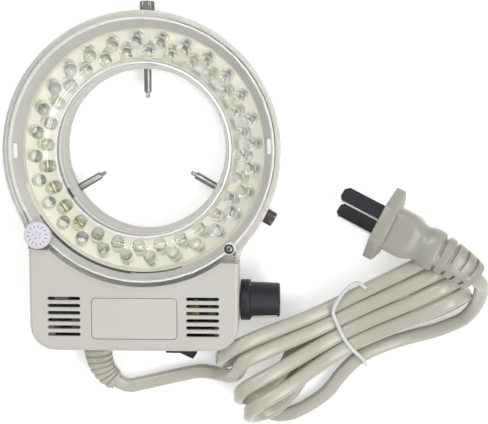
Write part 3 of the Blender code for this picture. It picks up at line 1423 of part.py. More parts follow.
def least_gap(points, radius):
    """Return the least gap between stretches of a tube that lie over three diameters apart."""
    fine = []
    for a, b in zip(points, points[1:]):
        fine += [a.lerp(b, i / GAP_STEPS) for i in range(GAP_STEPS)]
    lengths = [0.0]
    for a, b in zip(fine, fine[1:]):
        lengths.append(lengths[-1] + (b - a).length)
    least = (1.0, 0, 0)
    for i, a in enumerate(fine):
        for j in range(i + 1, len(fine)):
            if lengths[j] - lengths[i] > 6 * radius:
                distance = (fine[j] - a).length - 2 * radius
                if distance < least[0]:
                    least = (distance, i, j)
    return least[0], fine[least[1]], fine[least[2]]


def make_free_cord(name, start, out, route, end, away):
    """Make a free stretch of cord between two faces, straight for one diameter at each end."""
    first = start + out * GAP
    last = end + away * GAP
    straight = 2 * CORD_R
    middle = [first + out * straight] + [Vector(point) for point in route]
    middle.append(last + away * straight)
    points = [first] + smooth_route(middle, 4 * CORD_R) + [last]
    return make_tube(name, points, CORD_R, "cord")


def make_cords():
    """Make the lead from the lamp, the hank and the tail up to the plug."""
    route = [hank_place(*point) for point in hank_route()]
    hank = smooth_route(route, HANK_STEP)
    gap, _, _ = least_gap(hank, CORD_R)
    length = sum((b - a).length for a, b in zip(hank, hank[1:]))
    print(f"hank: {length / MM:.0f} mm of cord, least gap to itself {gap / MM:.2f} mm")
    make_tube("cord_hank", hank, CORD_R, "cord", 1)
    tip, heading = boot_frames()[-1]
    into = (hank[1] - hank[0]).normalized()
    make_free_cord("cord_lead", tip, heading, LEAD_ROUTE, hank[0], -into)
    out = (hank[-1] - hank[-2]).normalized()
    frame = plug_frame() @ along_plug(plug_length())
    back = frame.to_translation()
    away = (frame.to_3x3() @ Vector((0.0, 0.0, 1.0))).normalized()
    middle = Vector((*HANK_CENTRE, 0.0))
    tail = [middle + Vector(point) for point in TAIL_ROUTE]
    make_free_cord("cord_tail", hank[-1], out, tail, back, away)
    tie = [hank_place(*point) for point in TIE_ROUTE]
    make_tube("twist_tie", smooth_route(tie, 5 * TIE_R), TIE_R, "pale", 1)


def plug_frame():
    """Return the plug's frame: origin on its face, Z towards the cord, X level; its nose dips."""
    c = math.cos(PLUG_HEADING)
    s = math.sin(PLUG_HEADING)
    turn = Matrix(((-s, 0.0, c), (c, 0.0, s), (0.0, 1.0, 0.0))).to_4x4()
    rest = Vector((0.0, 0.0, PLUG_REST))
    dip = Matrix.Translation(rest) @ Matrix.Rotation(-PLUG_DIP, 4, "X") @ Matrix.Translation(-rest)
    return Matrix.Translation(Vector(PLUG_FACE)) @ turn @ dip


def plug_length():
    """Return the plug's length from its face to where the cord enters."""
    return FLANGE_T + BODY_L + NECK_L + BULGE_L + PLUG_RIBS * PLUG_RIB_PITCH


def along_plug(distance):
    """Return the frame at a distance behind the plug's face; its ribbed tail bends to one side."""
    straight = plug_length() - PLUG_RIBS * PLUG_RIB_PITCH
    if distance <= straight:
        return Matrix.Translation((0.0, 0.0, distance))
    share = (distance - straight) / (PLUG_RIBS * PLUG_RIB_PITCH)
    radius = PLUG_RIBS * PLUG_RIB_PITCH / PLUG_BEND
    side = Vector((*PLUG_BEND_TOWARDS, 0.0)).normalized()
    angle = PLUG_BEND * share
    place = side * radius * (1 - math.cos(angle)) + Vector((0.0, 0.0, straight + radius * math.sin(angle)))
    turn = Matrix.Rotation(angle, 4, Vector((0.0, 0.0, 1.0)).cross(side))
    return Matrix.Translation(place) @ turn


def make_plug():
    """Make the plug: a thick plate with a roof back, a body, a neck, a bulge and a ribbed tail."""
    frame = plug_frame()
    flat = FLANGE_FLAT_HALF
    outline = [(FLANGE_HALF_W, 0.0), (flat, FLANGE_HALF_H), (-flat, FLANGE_HALF_H)]
    outline += [(-x, -y) for x, y in outline]
    front = [(x, y, 0.0) for x, y in outline]
    edge = [(x, y, FLANGE_EDGE_T) for x, y in outline]
    back_share = flat / FLANGE_HALF_W
    back = [(x * back_share, y, FLANGE_T) for x, y in outline]
    body = loft("plug_body", [front, edge, back])
    loops = []
    for z, size in plug_stations():
        loops.append([tuple(along_plug(z) @ Vector((x, y, 0.0))) for x, y in rounded(*size)])
    fuse(body, loft("plug_rear", loops))
    turn = Matrix.Rotation(BLADE_TILT, 4, "Z")
    for name, sign in (("plug_blade_upper", 1), ("plug_blade_lower", -1)):
        x = sign * BLADE_SPACING / 2
        seat = BLADE_T + 2 * GAP, BLADE_W + 2 * GAP, 2 * (BLADE_SEAT + GAP)
        cut(body, turn_to(box_about("seat", (x, 0.0, 0.0), seat), turn))
        make_blade(name, x, frame @ turn)
    turn_to(body, frame)
    made(body, "cord")


def plug_stations():
    """Return the plug's sections behind its plate as (distance, size)."""
    z = FLANGE_EDGE_T
    stations = [(z, PLUG_BODY)]
    z = FLANGE_T + BODY_L
    stations.append((z, PLUG_BODY))
    z += NECK_L
    stations.append((z, PLUG_NECK))
    stations.append((z + BULGE_L * 0.35, PLUG_BULGE))
    stations.append((z + BULGE_L * 0.8, PLUG_BULGE))
    z += BULGE_L
    for rib in range(PLUG_RIBS):
        share = rib / (PLUG_RIBS - 1)
        size = [between(a, b, share) for a, b in zip(PLUG_RIB, PLUG_END)]
        slim = [value - PLUG_RIB_DEPTH for value in size]
        stations.append((z, slim))
        stations.append((z + PLUG_RIB_PITCH * 0.3, size))
        stations.append((z + PLUG_RIB_PITCH * 0.8, size))
        z += PLUG_RIB_PITCH
    stations.append((z, slim))
    return stations


def make_blade(name, x, frame):
    """Make one flat blade with a clipped nose."""
    half = BLADE_W / 2
    tip = -BLADE_LENGTH
    outline = [
        (BLADE_SEAT, half),
        (tip + BLADE_NOSE, half),
        (tip, half - BLADE_NOSE),
        (tip, BLADE_NOSE - half),
        (tip + BLADE_NOSE, -half),
        (BLADE_SEAT, -half),
    ]
    sides = [x - BLADE_T / 2, x + BLADE_T / 2]
    blade = loft(name, [[(side, b, a) for a, b in outline] for side in sides])
    made(turn_to(blade, frame), "dark_steel", False)


def make_lamp():
    """Make every piece of the lamp itself."""
    make_rear_housing()
    make_front_housing()
    make_clear_cover()
    make_screws()
    make_carrier()
    make_lamp_row("lamp_row_outer", OUTER_ROW_R, FIRST_LAMP)
    make_lamp_row("lamp_row_inner", INNER_ROW_R, FIRST_LAMP + math.pi / LAMP_COUNT)
    make_ring_board()
    make_label_and_seal()
    for side, angle in THUMB_ANGLES.items():
        make_thumbscrew(side, angle)
    make_dimmer()
    make_switch()
    make_driver()
    make_strain_relief()
    make_cord_entry()
    make_wires()


def base_middle(pieces):
    """Return the middle of the pieces' extent over the floor."""
    bpy.context.view_layer.update()
    corners = [item.matrix_world @ Vector(corner) for item in pieces for corner in item.bound_box]
    xs = [corner.x for corner in corners]
    ys = [corner.y for corner in corners]
    return Vector(((min(xs) + max(xs)) / 2, (min(ys) + max(ys)) / 2, 0.0))


def main():
    """Build the lamp, then its cord, and put the origin at the middle of the lamp's base."""
    clear_scene()
    make_lamp()
    lamp = [item for item in bpy.data.objects if item.type == "MESH" and item.name != "strain_relief"]
    middle = base_middle(lamp)
    make_cords()
    make_plug()
    for item in bpy.data.objects:
        if item.parent is None:
            item.location -= middle
    print(f"ring axis at x {-middle.x / MM:.3f} mm, y {-middle.y / MM:.3f} mm")


main()
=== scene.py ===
import json
import math

import bmesh
import bpy
from bpy.props import BoolProperty, FloatProperty, FloatVectorProperty, IntProperty, PointerProperty
from mathutils import Matrix, Vector


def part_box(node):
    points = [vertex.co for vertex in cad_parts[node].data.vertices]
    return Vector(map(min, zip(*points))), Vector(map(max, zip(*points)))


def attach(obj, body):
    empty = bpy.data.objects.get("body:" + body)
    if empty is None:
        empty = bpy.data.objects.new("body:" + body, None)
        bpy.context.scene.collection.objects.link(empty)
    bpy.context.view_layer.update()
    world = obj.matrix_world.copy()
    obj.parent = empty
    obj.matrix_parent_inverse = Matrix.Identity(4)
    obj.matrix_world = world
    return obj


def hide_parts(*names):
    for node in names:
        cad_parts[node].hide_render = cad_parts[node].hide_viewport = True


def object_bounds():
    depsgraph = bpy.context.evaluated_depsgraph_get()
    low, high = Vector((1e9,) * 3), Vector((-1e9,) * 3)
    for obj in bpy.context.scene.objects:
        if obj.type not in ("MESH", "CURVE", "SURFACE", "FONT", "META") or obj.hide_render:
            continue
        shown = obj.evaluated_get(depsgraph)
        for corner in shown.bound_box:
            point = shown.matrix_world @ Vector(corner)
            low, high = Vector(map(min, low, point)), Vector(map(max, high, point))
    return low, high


bl_info = {
    "name": "Microscope Ring Light",
    "version": (1, 0, 0),
    "blender": (4, 5, 0),
    "location": "3D View > Sidebar > Ring Light",
    "description": "Dresses the ring light's solids with lamps, cover, knob, screws, cord, plug and finishes",
    "category": "Add Mesh",
}

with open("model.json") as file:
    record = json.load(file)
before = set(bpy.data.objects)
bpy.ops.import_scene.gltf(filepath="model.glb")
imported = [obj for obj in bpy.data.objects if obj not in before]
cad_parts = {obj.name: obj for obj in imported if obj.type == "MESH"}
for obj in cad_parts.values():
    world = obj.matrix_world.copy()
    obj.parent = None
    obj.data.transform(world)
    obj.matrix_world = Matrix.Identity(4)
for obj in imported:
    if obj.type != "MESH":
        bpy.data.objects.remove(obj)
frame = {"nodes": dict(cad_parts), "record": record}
CAD_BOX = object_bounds()
ROOT = "lamp_body"
MM = 0.001
TURN = 2 * math.pi
QUARTER = math.pi / 2
UP = Vector((0.0, 0.0, 1.0))

# The lamps' carrier is round about the ring's axis, so its box gives the axis.
_low, _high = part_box("lamp_carrier")
AXIS = Vector(((_low.x + _high.x) / 2, (_low.y + _high.y) / 2, 0.0))

# Sizes that the solids share, in metres, about the ring's axis
TOP_Z = 30.0 * MM
RING_R = 52.2 * MM
BORE_R = 32.0 * MM
CARRIER_R = 45.6 * MM
CARRIER_Z = 19.2 * MM
LAMP_LIFT = 0.324 * MM
THUMB_ANGLES = {"top": 90.0, "left": 210.0, "right": 330.0}
THUMB_Z = 6.0 * MM
SCREW_RIGHT = Vector((32.8 * MM, -36.6 * MM, 0.0))
SCREW_LEFT = Vector((-39.3 * MM, -31.6 * MM, 0.0))
CASE_SCREWS = {"left": (-36.1 * MM, -68.8 * MM), "right": (29.1 * MM, -68.8 * MM)}
DIMMER = Vector((36.1 * MM, -58.0 * MM, 14.8 * MM))
BOX_BOTTOM_Y = -75.8 * MM


# Mesh making


def mm(*rows):
    """Turn rows of numbers from millimetres into metres."""
    return [tuple(value * MM for value in row) for row in rows]


def between(low, high, share):
    """Return the value at a share of the way from low to high."""
    return low + (high - low) * share


def new_object(name, data):
    """Link a new object at the origin."""
    item = bpy.data.objects.new(name, data)
    bpy.context.scene.collection.objects.link(item)
    return item


def smooth(item, angle=35.0):
    """Shade an object smooth but for its edges past an angle."""
    item.data.shade_smooth()
    item.data.set_sharp_from_angle(angle=math.radians(angle))
    return item


def from_bmesh(name, bm, angle=35.0):
    """Turn a bmesh into a smooth object with its faces out."""
    bmesh.ops.recalc_face_normals(bm, faces=bm.faces)
    mesh = bpy.data.meshes.new(name)
    bm.to_mesh(mesh)
    bm.free()
    return smooth(new_object(name, mesh), angle)


def loft(name, loops, cyclic=False, angle=35.0):
    """Skin a row of closed loops; a cyclic row closes on itself, any other is capped."""
    bm = bmesh.new()
    rows = [[bm.verts.new(point) for point in loop] for loop in loops]
    count = len(rows[0])
    pairs = list(zip(rows, rows[1:]))
    if cyclic:
        pairs.append((rows[-1], rows[0]))
    else:
        bm.faces.new(rows[0])
        bm.faces.new(rows[-1])
    for low, high in pairs:
        for i in range(count):
            j = (i + 1) % count
            bm.faces.new((low[i], low[j], high[j], high[i]))
    return from_bmesh(name, bm, angle)


def around(radius, angle, z):
    """Return the point at a radius, an angle and a height about Z."""
    return Vector((radius * math.cos(angle), radius * math.sin(angle), z))


def circle(radius, z, sides):
    """Return the points of a circle at a height."""
    return [around(radius, TURN * i / sides, z) for i in range(sides)]


def turned(name, stations, sides=48, angle=35.0):
    """Turn a closed solid about Z from (radius, height) stations."""
    return loft(name, [circle(r, z, sides) for r, z in stations], angle=angle)


def quarter_round(size, steps=4):
    """Return a rounded rim as (inset, drop) pairs, from its side to its end."""
    turns = [QUARTER * i / steps for i in range(steps + 1)]
    return [(size * (1 - math.cos(turn)), size * (1 - math.sin(turn))) for turn in turns]


def moved(item, matrix):
    """Move an object's mesh by a matrix and leave the object at the origin."""
    item.data.transform(matrix)
    item.data.update()
    return item


def turned_about_z(item, degrees):
    """Turn an object's mesh about Z."""
    return moved(item, Matrix.Rotation(math.radians(degrees), 4, "Z"))


def towards(direction, place):
    """Return the matrix that turns +Z to a direction and moves the origin to a place."""
    turn = Vector(direction).to_track_quat("Z", "Y").to_matrix().to_4x4()
    return Matrix.Translation(Vector(place)) @ turn


def joined(name, items):
    """Join objects into one mesh object."""
    bm = bmesh.new()
    for item in items:
        bm.from_mesh(item.data)
        bpy.data.objects.remove(item)
    return from_bmesh(name, bm)


def applied(item):
    """Turn an object and its modifiers into a plain mesh object of the same name."""
    bpy.context.view_layer.update()
    graph = bpy.context.evaluated_depsgraph_get()
    mesh = bpy.data.meshes.new_from_object(item.evaluated_get(graph))
    item.modifiers.clear()
    item.data = mesh
    return item


def modified(item, kind, **settings):
    """Give an object a modifier with these settings, and make the result its plain mesh."""
    modifier = item.modifiers.new(kind.lower(), kind)
    for name, value in settings.items():
        setattr(modifier, name, value)
    return applied(item)


def cut(item, *tools):
    """Cut tools out of an object."""
    for tool in tools:
        modified(item, "BOOLEAN", operation="DIFFERENCE", solver="EXACT", object=tool)
        bpy.data.objects.remove(tool)
    return smooth(item)


def bevelled(item, width, segments=3):
    """Round an object's sharp edges."""
    modified(item, "BEVEL", width=width, segments=segments, limit_method="ANGLE")
    return smooth(item, 50.0)


def box_mesh(name, low, high):
    """Make a block from its lowest and highest corners."""
    corners = [(low[0], low[1]), (high[0], low[1]), (high[0], high[1]), (low[0], high[1])]
    return loft(name, [[Vector((x, y, z)) for x, y in corners] for z in (low[2], high[2])])


def arc_strip(name, section, start, end, steps=96):
    """Sweep a closed section of (radius, height) points about the axis between two angles."""
    angles = [math.radians(between(start, end, i / steps)) for i in range(steps + 1)]
    return loft(name, [[around(r, angle, z) for r, z in section] for angle in angles])


def ring_shell(name, section, steps=240):
    """Turn a closed section of (radius, height) points about the axis."""
    return loft(name, [circle(r, z, steps) for r, z in section], cyclic=True)


def settle(item, finish, *nodes, body=ROOT, slot=""):
    """Give a piece its finish, its body and the solids it stands for.

    The slot argument is not used.
    """
    item.data.materials.clear()
    item.data.materials.append(FINISHES[finish])
    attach(item, body)
    if nodes:
        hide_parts(*nodes)
    return item


def settle_on_axis(item, finish, *nodes, **places):
    """Move a piece that was made about the ring's axis to where the axis is, and settle it."""
    return settle(moved(item, Matrix.Translation(AXIS)), finish, *nodes, **places)


# Node trees


def feed(socket, value):
    """Link an input to another node's output, or set its value."""
    if isinstance(value, bpy.types.NodeSocket):
        socket.id_data.links.new(value, socket)
    else:
        socket.default_value = value


def set_inputs(node, inputs):
    """Feed a node's named inputs."""
    for label, value in inputs.items():
        feed(node.inputs[label], value)


def add_node(tree, kind, inputs, **settings):
    """Add a node with its settings and its named inputs."""
    node = tree.nodes.new(kind)
    for name, value in settings.items():
        setattr(node, name, value)
    set_inputs(node, inputs)
    return node


def maths(tree, operation, *values):
    """Add a sum of one or two values."""
    node = add_node(tree, "ShaderNodeMath", {}, operation=operation)
    for socket, value in zip(node.inputs, values):
        feed(socket, value)
    return node.outputs[0]


def ring_tree():
    """Return the tree that sets copies of a piece in a ring about Z."""
    name = "Copies round the axis"
    if name in bpy.data.node_groups:
        return bpy.data.node_groups[name]
    tree = bpy.data.node_groups.new(name, "GeometryNodeTree")
    tree.interface.new_socket("Geometry", in_out="OUTPUT", socket_type="NodeSocketGeometry")
    kinds = {"Piece": "Object", "Count": "Int", "Radius": "Float", "Height": "Float", "Lean": "Float"}
    kinds.update({"First Angle": "Float", "Finish": "Material"})
    for label, kind in kinds.items():
        tree.interface.new_socket(label, in_out="INPUT", socket_type="NodeSocket" + kind)
    start = tree.nodes.new("NodeGroupInput").outputs
    index = tree.nodes.new("GeometryNodeInputIndex").outputs[0]
    share = maths(tree, "DIVIDE", index, start["Count"])
    angle = maths(tree, "ADD", maths(tree, "MULTIPLY", share, TURN), start["First Angle"])
    place = {"X": maths(tree, "MULTIPLY", maths(tree, "COSINE", angle), start["Radius"])}
    place["Y"] = maths(tree, "MULTIPLY", maths(tree, "SINE", angle), start["Radius"])
    place["Z"] = start["Height"]
    position = add_node(tree, "ShaderNodeCombineXYZ", place).outputs[0]
    turn = {"Y": maths(tree, "MULTIPLY", start["Lean"], -1.0), "Z": angle}
    rotation = add_node(tree, "ShaderNodeCombineXYZ", turn).outputs[0]
    points = add_node(tree, "GeometryNodePoints", {"Count": start["Count"], "Position": position})
    piece = add_node(tree, "GeometryNodeObjectInfo", {"Object": start["Piece"]})
    inputs = {"Points": points.outputs[0], "Instance": piece.outputs["Geometry"], "Rotation": rotation}
    copies = add_node(tree, "GeometryNodeInstanceOnPoints", inputs)
    real = add_node(tree, "GeometryNodeRealizeInstances", {"Geometry": copies.outputs[0]})
    inputs = {"Geometry": real.outputs[0], "Material": start["Finish"]}
    finish = add_node(tree, "GeometryNodeSetMaterial", inputs)
    add_node(tree, "NodeGroupOutput", {"Geometry": finish.outputs[0]})
    return tree


def ring_of_copies(name, piece, finish, count, radius, height, lean, first):
    """Make a plain mesh of copies of a piece round the axis, and remove the piece."""
    item = new_object(name, bpy.data.meshes.new(name))
    modifier = item.modifiers.new("copies", "NODES")
    modifier.node_group = ring_tree()
    values = {"Piece": piece, "Count": count, "Radius": radius, "Height": height}
    values.update({"Lean": lean, "First Angle": first, "Finish": FINISHES[finish]})
    for socket in modifier.node_group.interface.items_tree:
        if socket.in_out == "INPUT":
            modifier[socket.identifier] = values[socket.name]
    applied(item)
    bpy.data.objects.remove(piece)
    return item


# Shader groups


def object_place(tree):
    """Return the place on the piece, by its own coordinates."""
    return tree.nodes.new("ShaderNodeTexCoord").outputs["Object"]


def noise_node(tree, vector, scale, detail, roughness):
    """Add a noise texture."""
    inputs = {"Vector": vector, "Scale": scale, "Detail": detail, "Roughness": roughness}
    return add_node(tree, "ShaderNodeTexNoise", inputs).outputs["Fac"]


def range_node(tree, value, low, high, out_low=0.0, out_high=1.0):
    """Add a map range from one span to another."""
    inputs = {"Value": value, "From Min": low, "From Max": high, "To Min": out_low, "To Max": out_high}
    return add_node(tree, "ShaderNodeMapRange", inputs).outputs["Result"]


def mixed_colour(tree, mask, first, second):
    """Mix two colours by a mask; each is a colour or another node's output."""
    node = add_node(tree, "ShaderNodeMix", {}, data_type="RGBA")
    for label, colour in (("A", first), ("B", second)):
        feed(node.inputs[label], (*colour, 1.0) if isinstance(colour, tuple) else colour)
    feed(node.inputs["Factor"], mask)
    return node.outputs["Result"]


def group_start(name, inputs, outputs):
    """Make a shader group, and return it with the outputs of its input node."""
    tree = bpy.data.node_groups.new(name, "ShaderNodeTree")
    for label, default in inputs.items():
        socket = tree.interface.new_socket(label, in_out="INPUT", socket_type="NodeSocketFloat")
        socket.default_value = default
    for label in outputs:
        tree.interface.new_socket(label, in_out="OUTPUT", socket_type="NodeSocketFloat")
    return tree, tree.nodes.new("NodeGroupInput").outputs


def moulded_grain():
    """Return the group for a moulded surface: slow mottling, fine grain and specks."""
    name = "Moulded grain"
    if name in bpy.data.node_groups:
        return bpy.data.node_groups[name]
    inputs = {"Mottle Scale": 40.0, "Grain Scale": 2500.0}
    tree, start = group_start(name, inputs, ("Mottle", "Grain", "Specks"))
    where = object_place(tree)
    mottle = noise_node(tree, where, start["Mottle Scale"], 4.0, 0.6)
    grain = noise_node(tree, where, start["Grain Scale"], 2.0, 0.5)
    outputs = {"Mottle": range_node(tree, mottle, 0.3, 0.7), "Grain": grain}
    outputs["Specks"] = range_node(tree, grain, 0.68, 0.74)
    add_node(tree, "NodeGroupOutput", outputs)
    return tree


def rubbed_lines():
    """Return the group for turned or brushed metal and for wiped plastic: fine lines across Z."""
    name = "Rubbed lines"
    if name in bpy.data.node_groups:
        return bpy.data.node_groups[name]
    tree, start = group_start(name, {"Line Scale": 900.0, "Stretch": 0.06}, ("Lines", "Cloud"))
    where = object_place(tree)
    parts = add_node(tree, "ShaderNodeSeparateXYZ", {"Vector": where}).outputs
    squeezed = {label: maths(tree, "MULTIPLY", parts[label], start["Stretch"]) for label in "XY"}
    squeezed["Z"] = parts["Z"]
    across = add_node(tree, "ShaderNodeCombineXYZ", squeezed).outputs[0]
    lines = noise_node(tree, across, start["Line Scale"], 3.0, 0.6)
    cloud = noise_node(tree, where, 60.0, 3.0, 0.5)
    outputs = {"Lines": range_node(tree, lines, 0.3, 0.7), "Cloud": range_node(tree, cloud, 0.3, 0.7)}
    add_node(tree, "NodeGroupOutput", outputs)
    return tree


# Finishes

FINISHES = {}
WHITE = (1.0, 1.0, 1.0, 1.0)


def shade(colour, share):
    """Return a colour scaled by a share."""
    return tuple(min(1.0, c * share) for c in colour)


def material_start(name):
    """Make a material and return it with its tree and its shader."""
    material = bpy.data.materials.new(name)
    material.use_nodes = True
    tree = material.node_tree
    return material, tree, tree.nodes["Principled BSDF"]


def use_group(tree, group, inputs):
    """Place a group in a material with its own values, and return its outputs."""
    node = tree.nodes.new("ShaderNodeGroup")
    node.node_tree = group
    set_inputs(node, inputs)
    return node.outputs


def moulded(tree, mottle, grain):
    """Place the moulded grain with its two scales."""
    return use_group(tree, moulded_grain(), {"Mottle Scale": mottle, "Grain Scale": grain})


def rubbed(tree, lines, stretch):
    """Place the rubbed lines with their scale and stretch."""
    return use_group(tree, rubbed_lines(), {"Line Scale": lines, "Stretch": stretch})


def add_bump(tree, shader, height, depth, strength=0.4):
    """Feed a height to the shader's normal, with its depth in millimetres."""
    inputs = {"Strength": strength, "Distance": depth * MM, "Height": height}
    feed(shader.inputs["Normal"], add_node(tree, "ShaderNodeBump", inputs).outputs[0])


def plastic(name, colour, roughness, mottle, grain, depth, spread, specks=0.0, coat=0.0):
    """Make a moulded plastic: mottled colour, fine grain in its roughness and its surface."""
    material, tree, shader = material_start(name)
    group = moulded(tree, mottle, grain)
    base = mixed_colour(tree, group["Mottle"], shade(colour, 1 - spread), shade(colour, 1 + spread / 2))
    if specks:
        base = mixed_colour(tree, group["Specks"], base, shade(colour, 1 - specks))
    rough = range_node(tree, group["Grain"], 0.2, 0.8, roughness * 0.85, roughness * 1.15)
    inputs = {"Base Color": base, "Roughness": rough, "Coat Weight": coat, "Coat Roughness": 0.25}
    set_inputs(shader, inputs)
    add_bump(tree, shader, group["Grain"], depth)
    return material


def metal(name, colour, roughness, lines=900.0, stretch=0.06):
    """Make a turned or plated metal with fine lines and uneven polish."""
    material, tree, shader = material_start(name)
    group = rubbed(tree, lines, stretch)
    base = mixed_colour(tree, group["Cloud"], shade(colour, 0.9), shade(colour, 1.08))
    rough = range_node(tree, group["Lines"], 0.0, 1.0, roughness * 0.7, roughness * 1.3)
    set_inputs(shader, {"Base Color": base, "Roughness": rough, "Metallic": 1.0})
    add_bump(tree, shader, group["Lines"], 0.01, 0.3)
    return material


def blade_metal(name, face, edge):
    """Make the blades' metal: dark plated faces, and a painted highlight on the edge faces across the blade.
    """
    material, tree, shader = material_start(name)
    group = rubbed(tree, 700.0, 0.3)
    across = Matrix.Rotation(BLADE_TILT, 4, "Z") @ Vector((0.0, 1.0, 0.0))
    facing = add_node(tree, "ShaderNodeVectorMath", {}, operation="DOT_PRODUCT")
    feed(facing.inputs[0], tree.nodes.new("ShaderNodeTexCoord").outputs["Normal"])
    feed(facing.inputs[1], tuple(plug_frame().to_3x3() @ across))
    # Painted highlight: faces whose normal runs across the blade take the bright colour
    edge_glint = range_node(tree, maths(tree, "ABSOLUTE", facing.outputs["Value"]), 0.75, 0.9)
    rough = range_node(tree, group["Lines"], 0.0, 1.0, 0.22, 0.4)
    base = mixed_colour(tree, edge_glint, face, edge)
    set_inputs(shader, {"Base Color": base, "Roughness": rough, "Metallic": 0.9})
    add_bump(tree, shader, group["Lines"], 0.01, 0.3)
    return material


def clear(name, colour, roughness, ior, shadow):
    """Make a clear plastic that lets most light through to what lies under it."""
    material, tree, shader = material_start(name)
    group = rubbed(tree, 500.0, 0.4)
    rough = range_node(tree, group["Cloud"], 0.0, 1.0, roughness * 0.5, roughness * 1.5)
    path = tree.nodes.new("ShaderNodeLightPath").outputs
    alpha = range_node(tree, path["Is Shadow Ray"], 0.0, 1.0, 1.0, shadow)
    set_inputs(shader, {"Base Color": (*colour, 1.0), "Roughness": rough, "Alpha": alpha, "IOR": ior})
    set_inputs(shader, {"Transmission Weight": 1.0, "Coat Weight": 0.8, "Coat Roughness": 0.04})
    return material


def board_green(name):
    """Make a circuit board: green mask over paler tracks."""
    material, tree, shader = material_start(name)
    settings = {"distance": "MANHATTAN", "feature": "DISTANCE_TO_EDGE"}
    cells = add_node(tree, "ShaderNodeTexVoronoi", {}, **settings)
    set_inputs(cells, {"Vector": object_place(tree), "Scale": 260.0})
    tracks = range_node(tree, cells.outputs["Distance"], 0.06, 0.09)
    base = mixed_colour(tree, tracks, (0.10, 0.36, 0.20), (0.03, 0.20, 0.10))
    rough = range_node(tree, moulded(tree, 40.0, 3000.0)["Grain"], 0.2, 0.8, 0.28, 0.42)
    set_inputs(shader, {"Base Color": base, "Roughness": rough})
    add_bump(tree, shader, tracks, 0.03)
    return material


def wound_wire(name, colour):
    """Make a winding: rows of enamelled wire."""
    material, tree, shader = material_start(name)
    inputs = {"Vector": object_place(tree), "Scale": 800.0, "Distortion": 0.6}
    wave = add_node(tree, "ShaderNodeTexWave", inputs, wave_type="BANDS", bands_direction="Z")
    rows = wave.outputs["Fac"]
    base = mixed_colour(tree, rows, shade(colour, 0.4), shade(colour, 1.1))
    set_inputs(shader, {"Base Color": base, "Metallic": 0.7, "Roughness": 0.35})
    add_bump(tree, shader, rows, 0.1)
    return material


def seal_paper(name, centre):
    """Make the round seal's paper: pale, with a pink band at its rim."""
    material, tree, shader = material_start(name)
    away = add_node(tree, "ShaderNodeVectorMath", {}, operation="DISTANCE")
    feed(away.inputs[0], object_place(tree))
    feed(away.inputs[1], tuple(centre))
    band = range_node(tree, away.outputs["Value"], 4.35 * MM, 4.75 * MM)
    group = moulded(tree, 260.0, 5000.0)
    paper = mixed_colour(tree, group["Mottle"], (0.84, 0.80, 0.84), (0.74, 0.76, 0.84))
    base = mixed_colour(tree, band, paper, (0.84, 0.68, 0.70))
    rough = range_node(tree, group["Grain"], 0.2, 0.8, 0.45, 0.6)
    set_inputs(shader, {"Base Color": base, "Roughness": rough})
    add_bump(tree, shader, group["Grain"], 0.02)
    return material


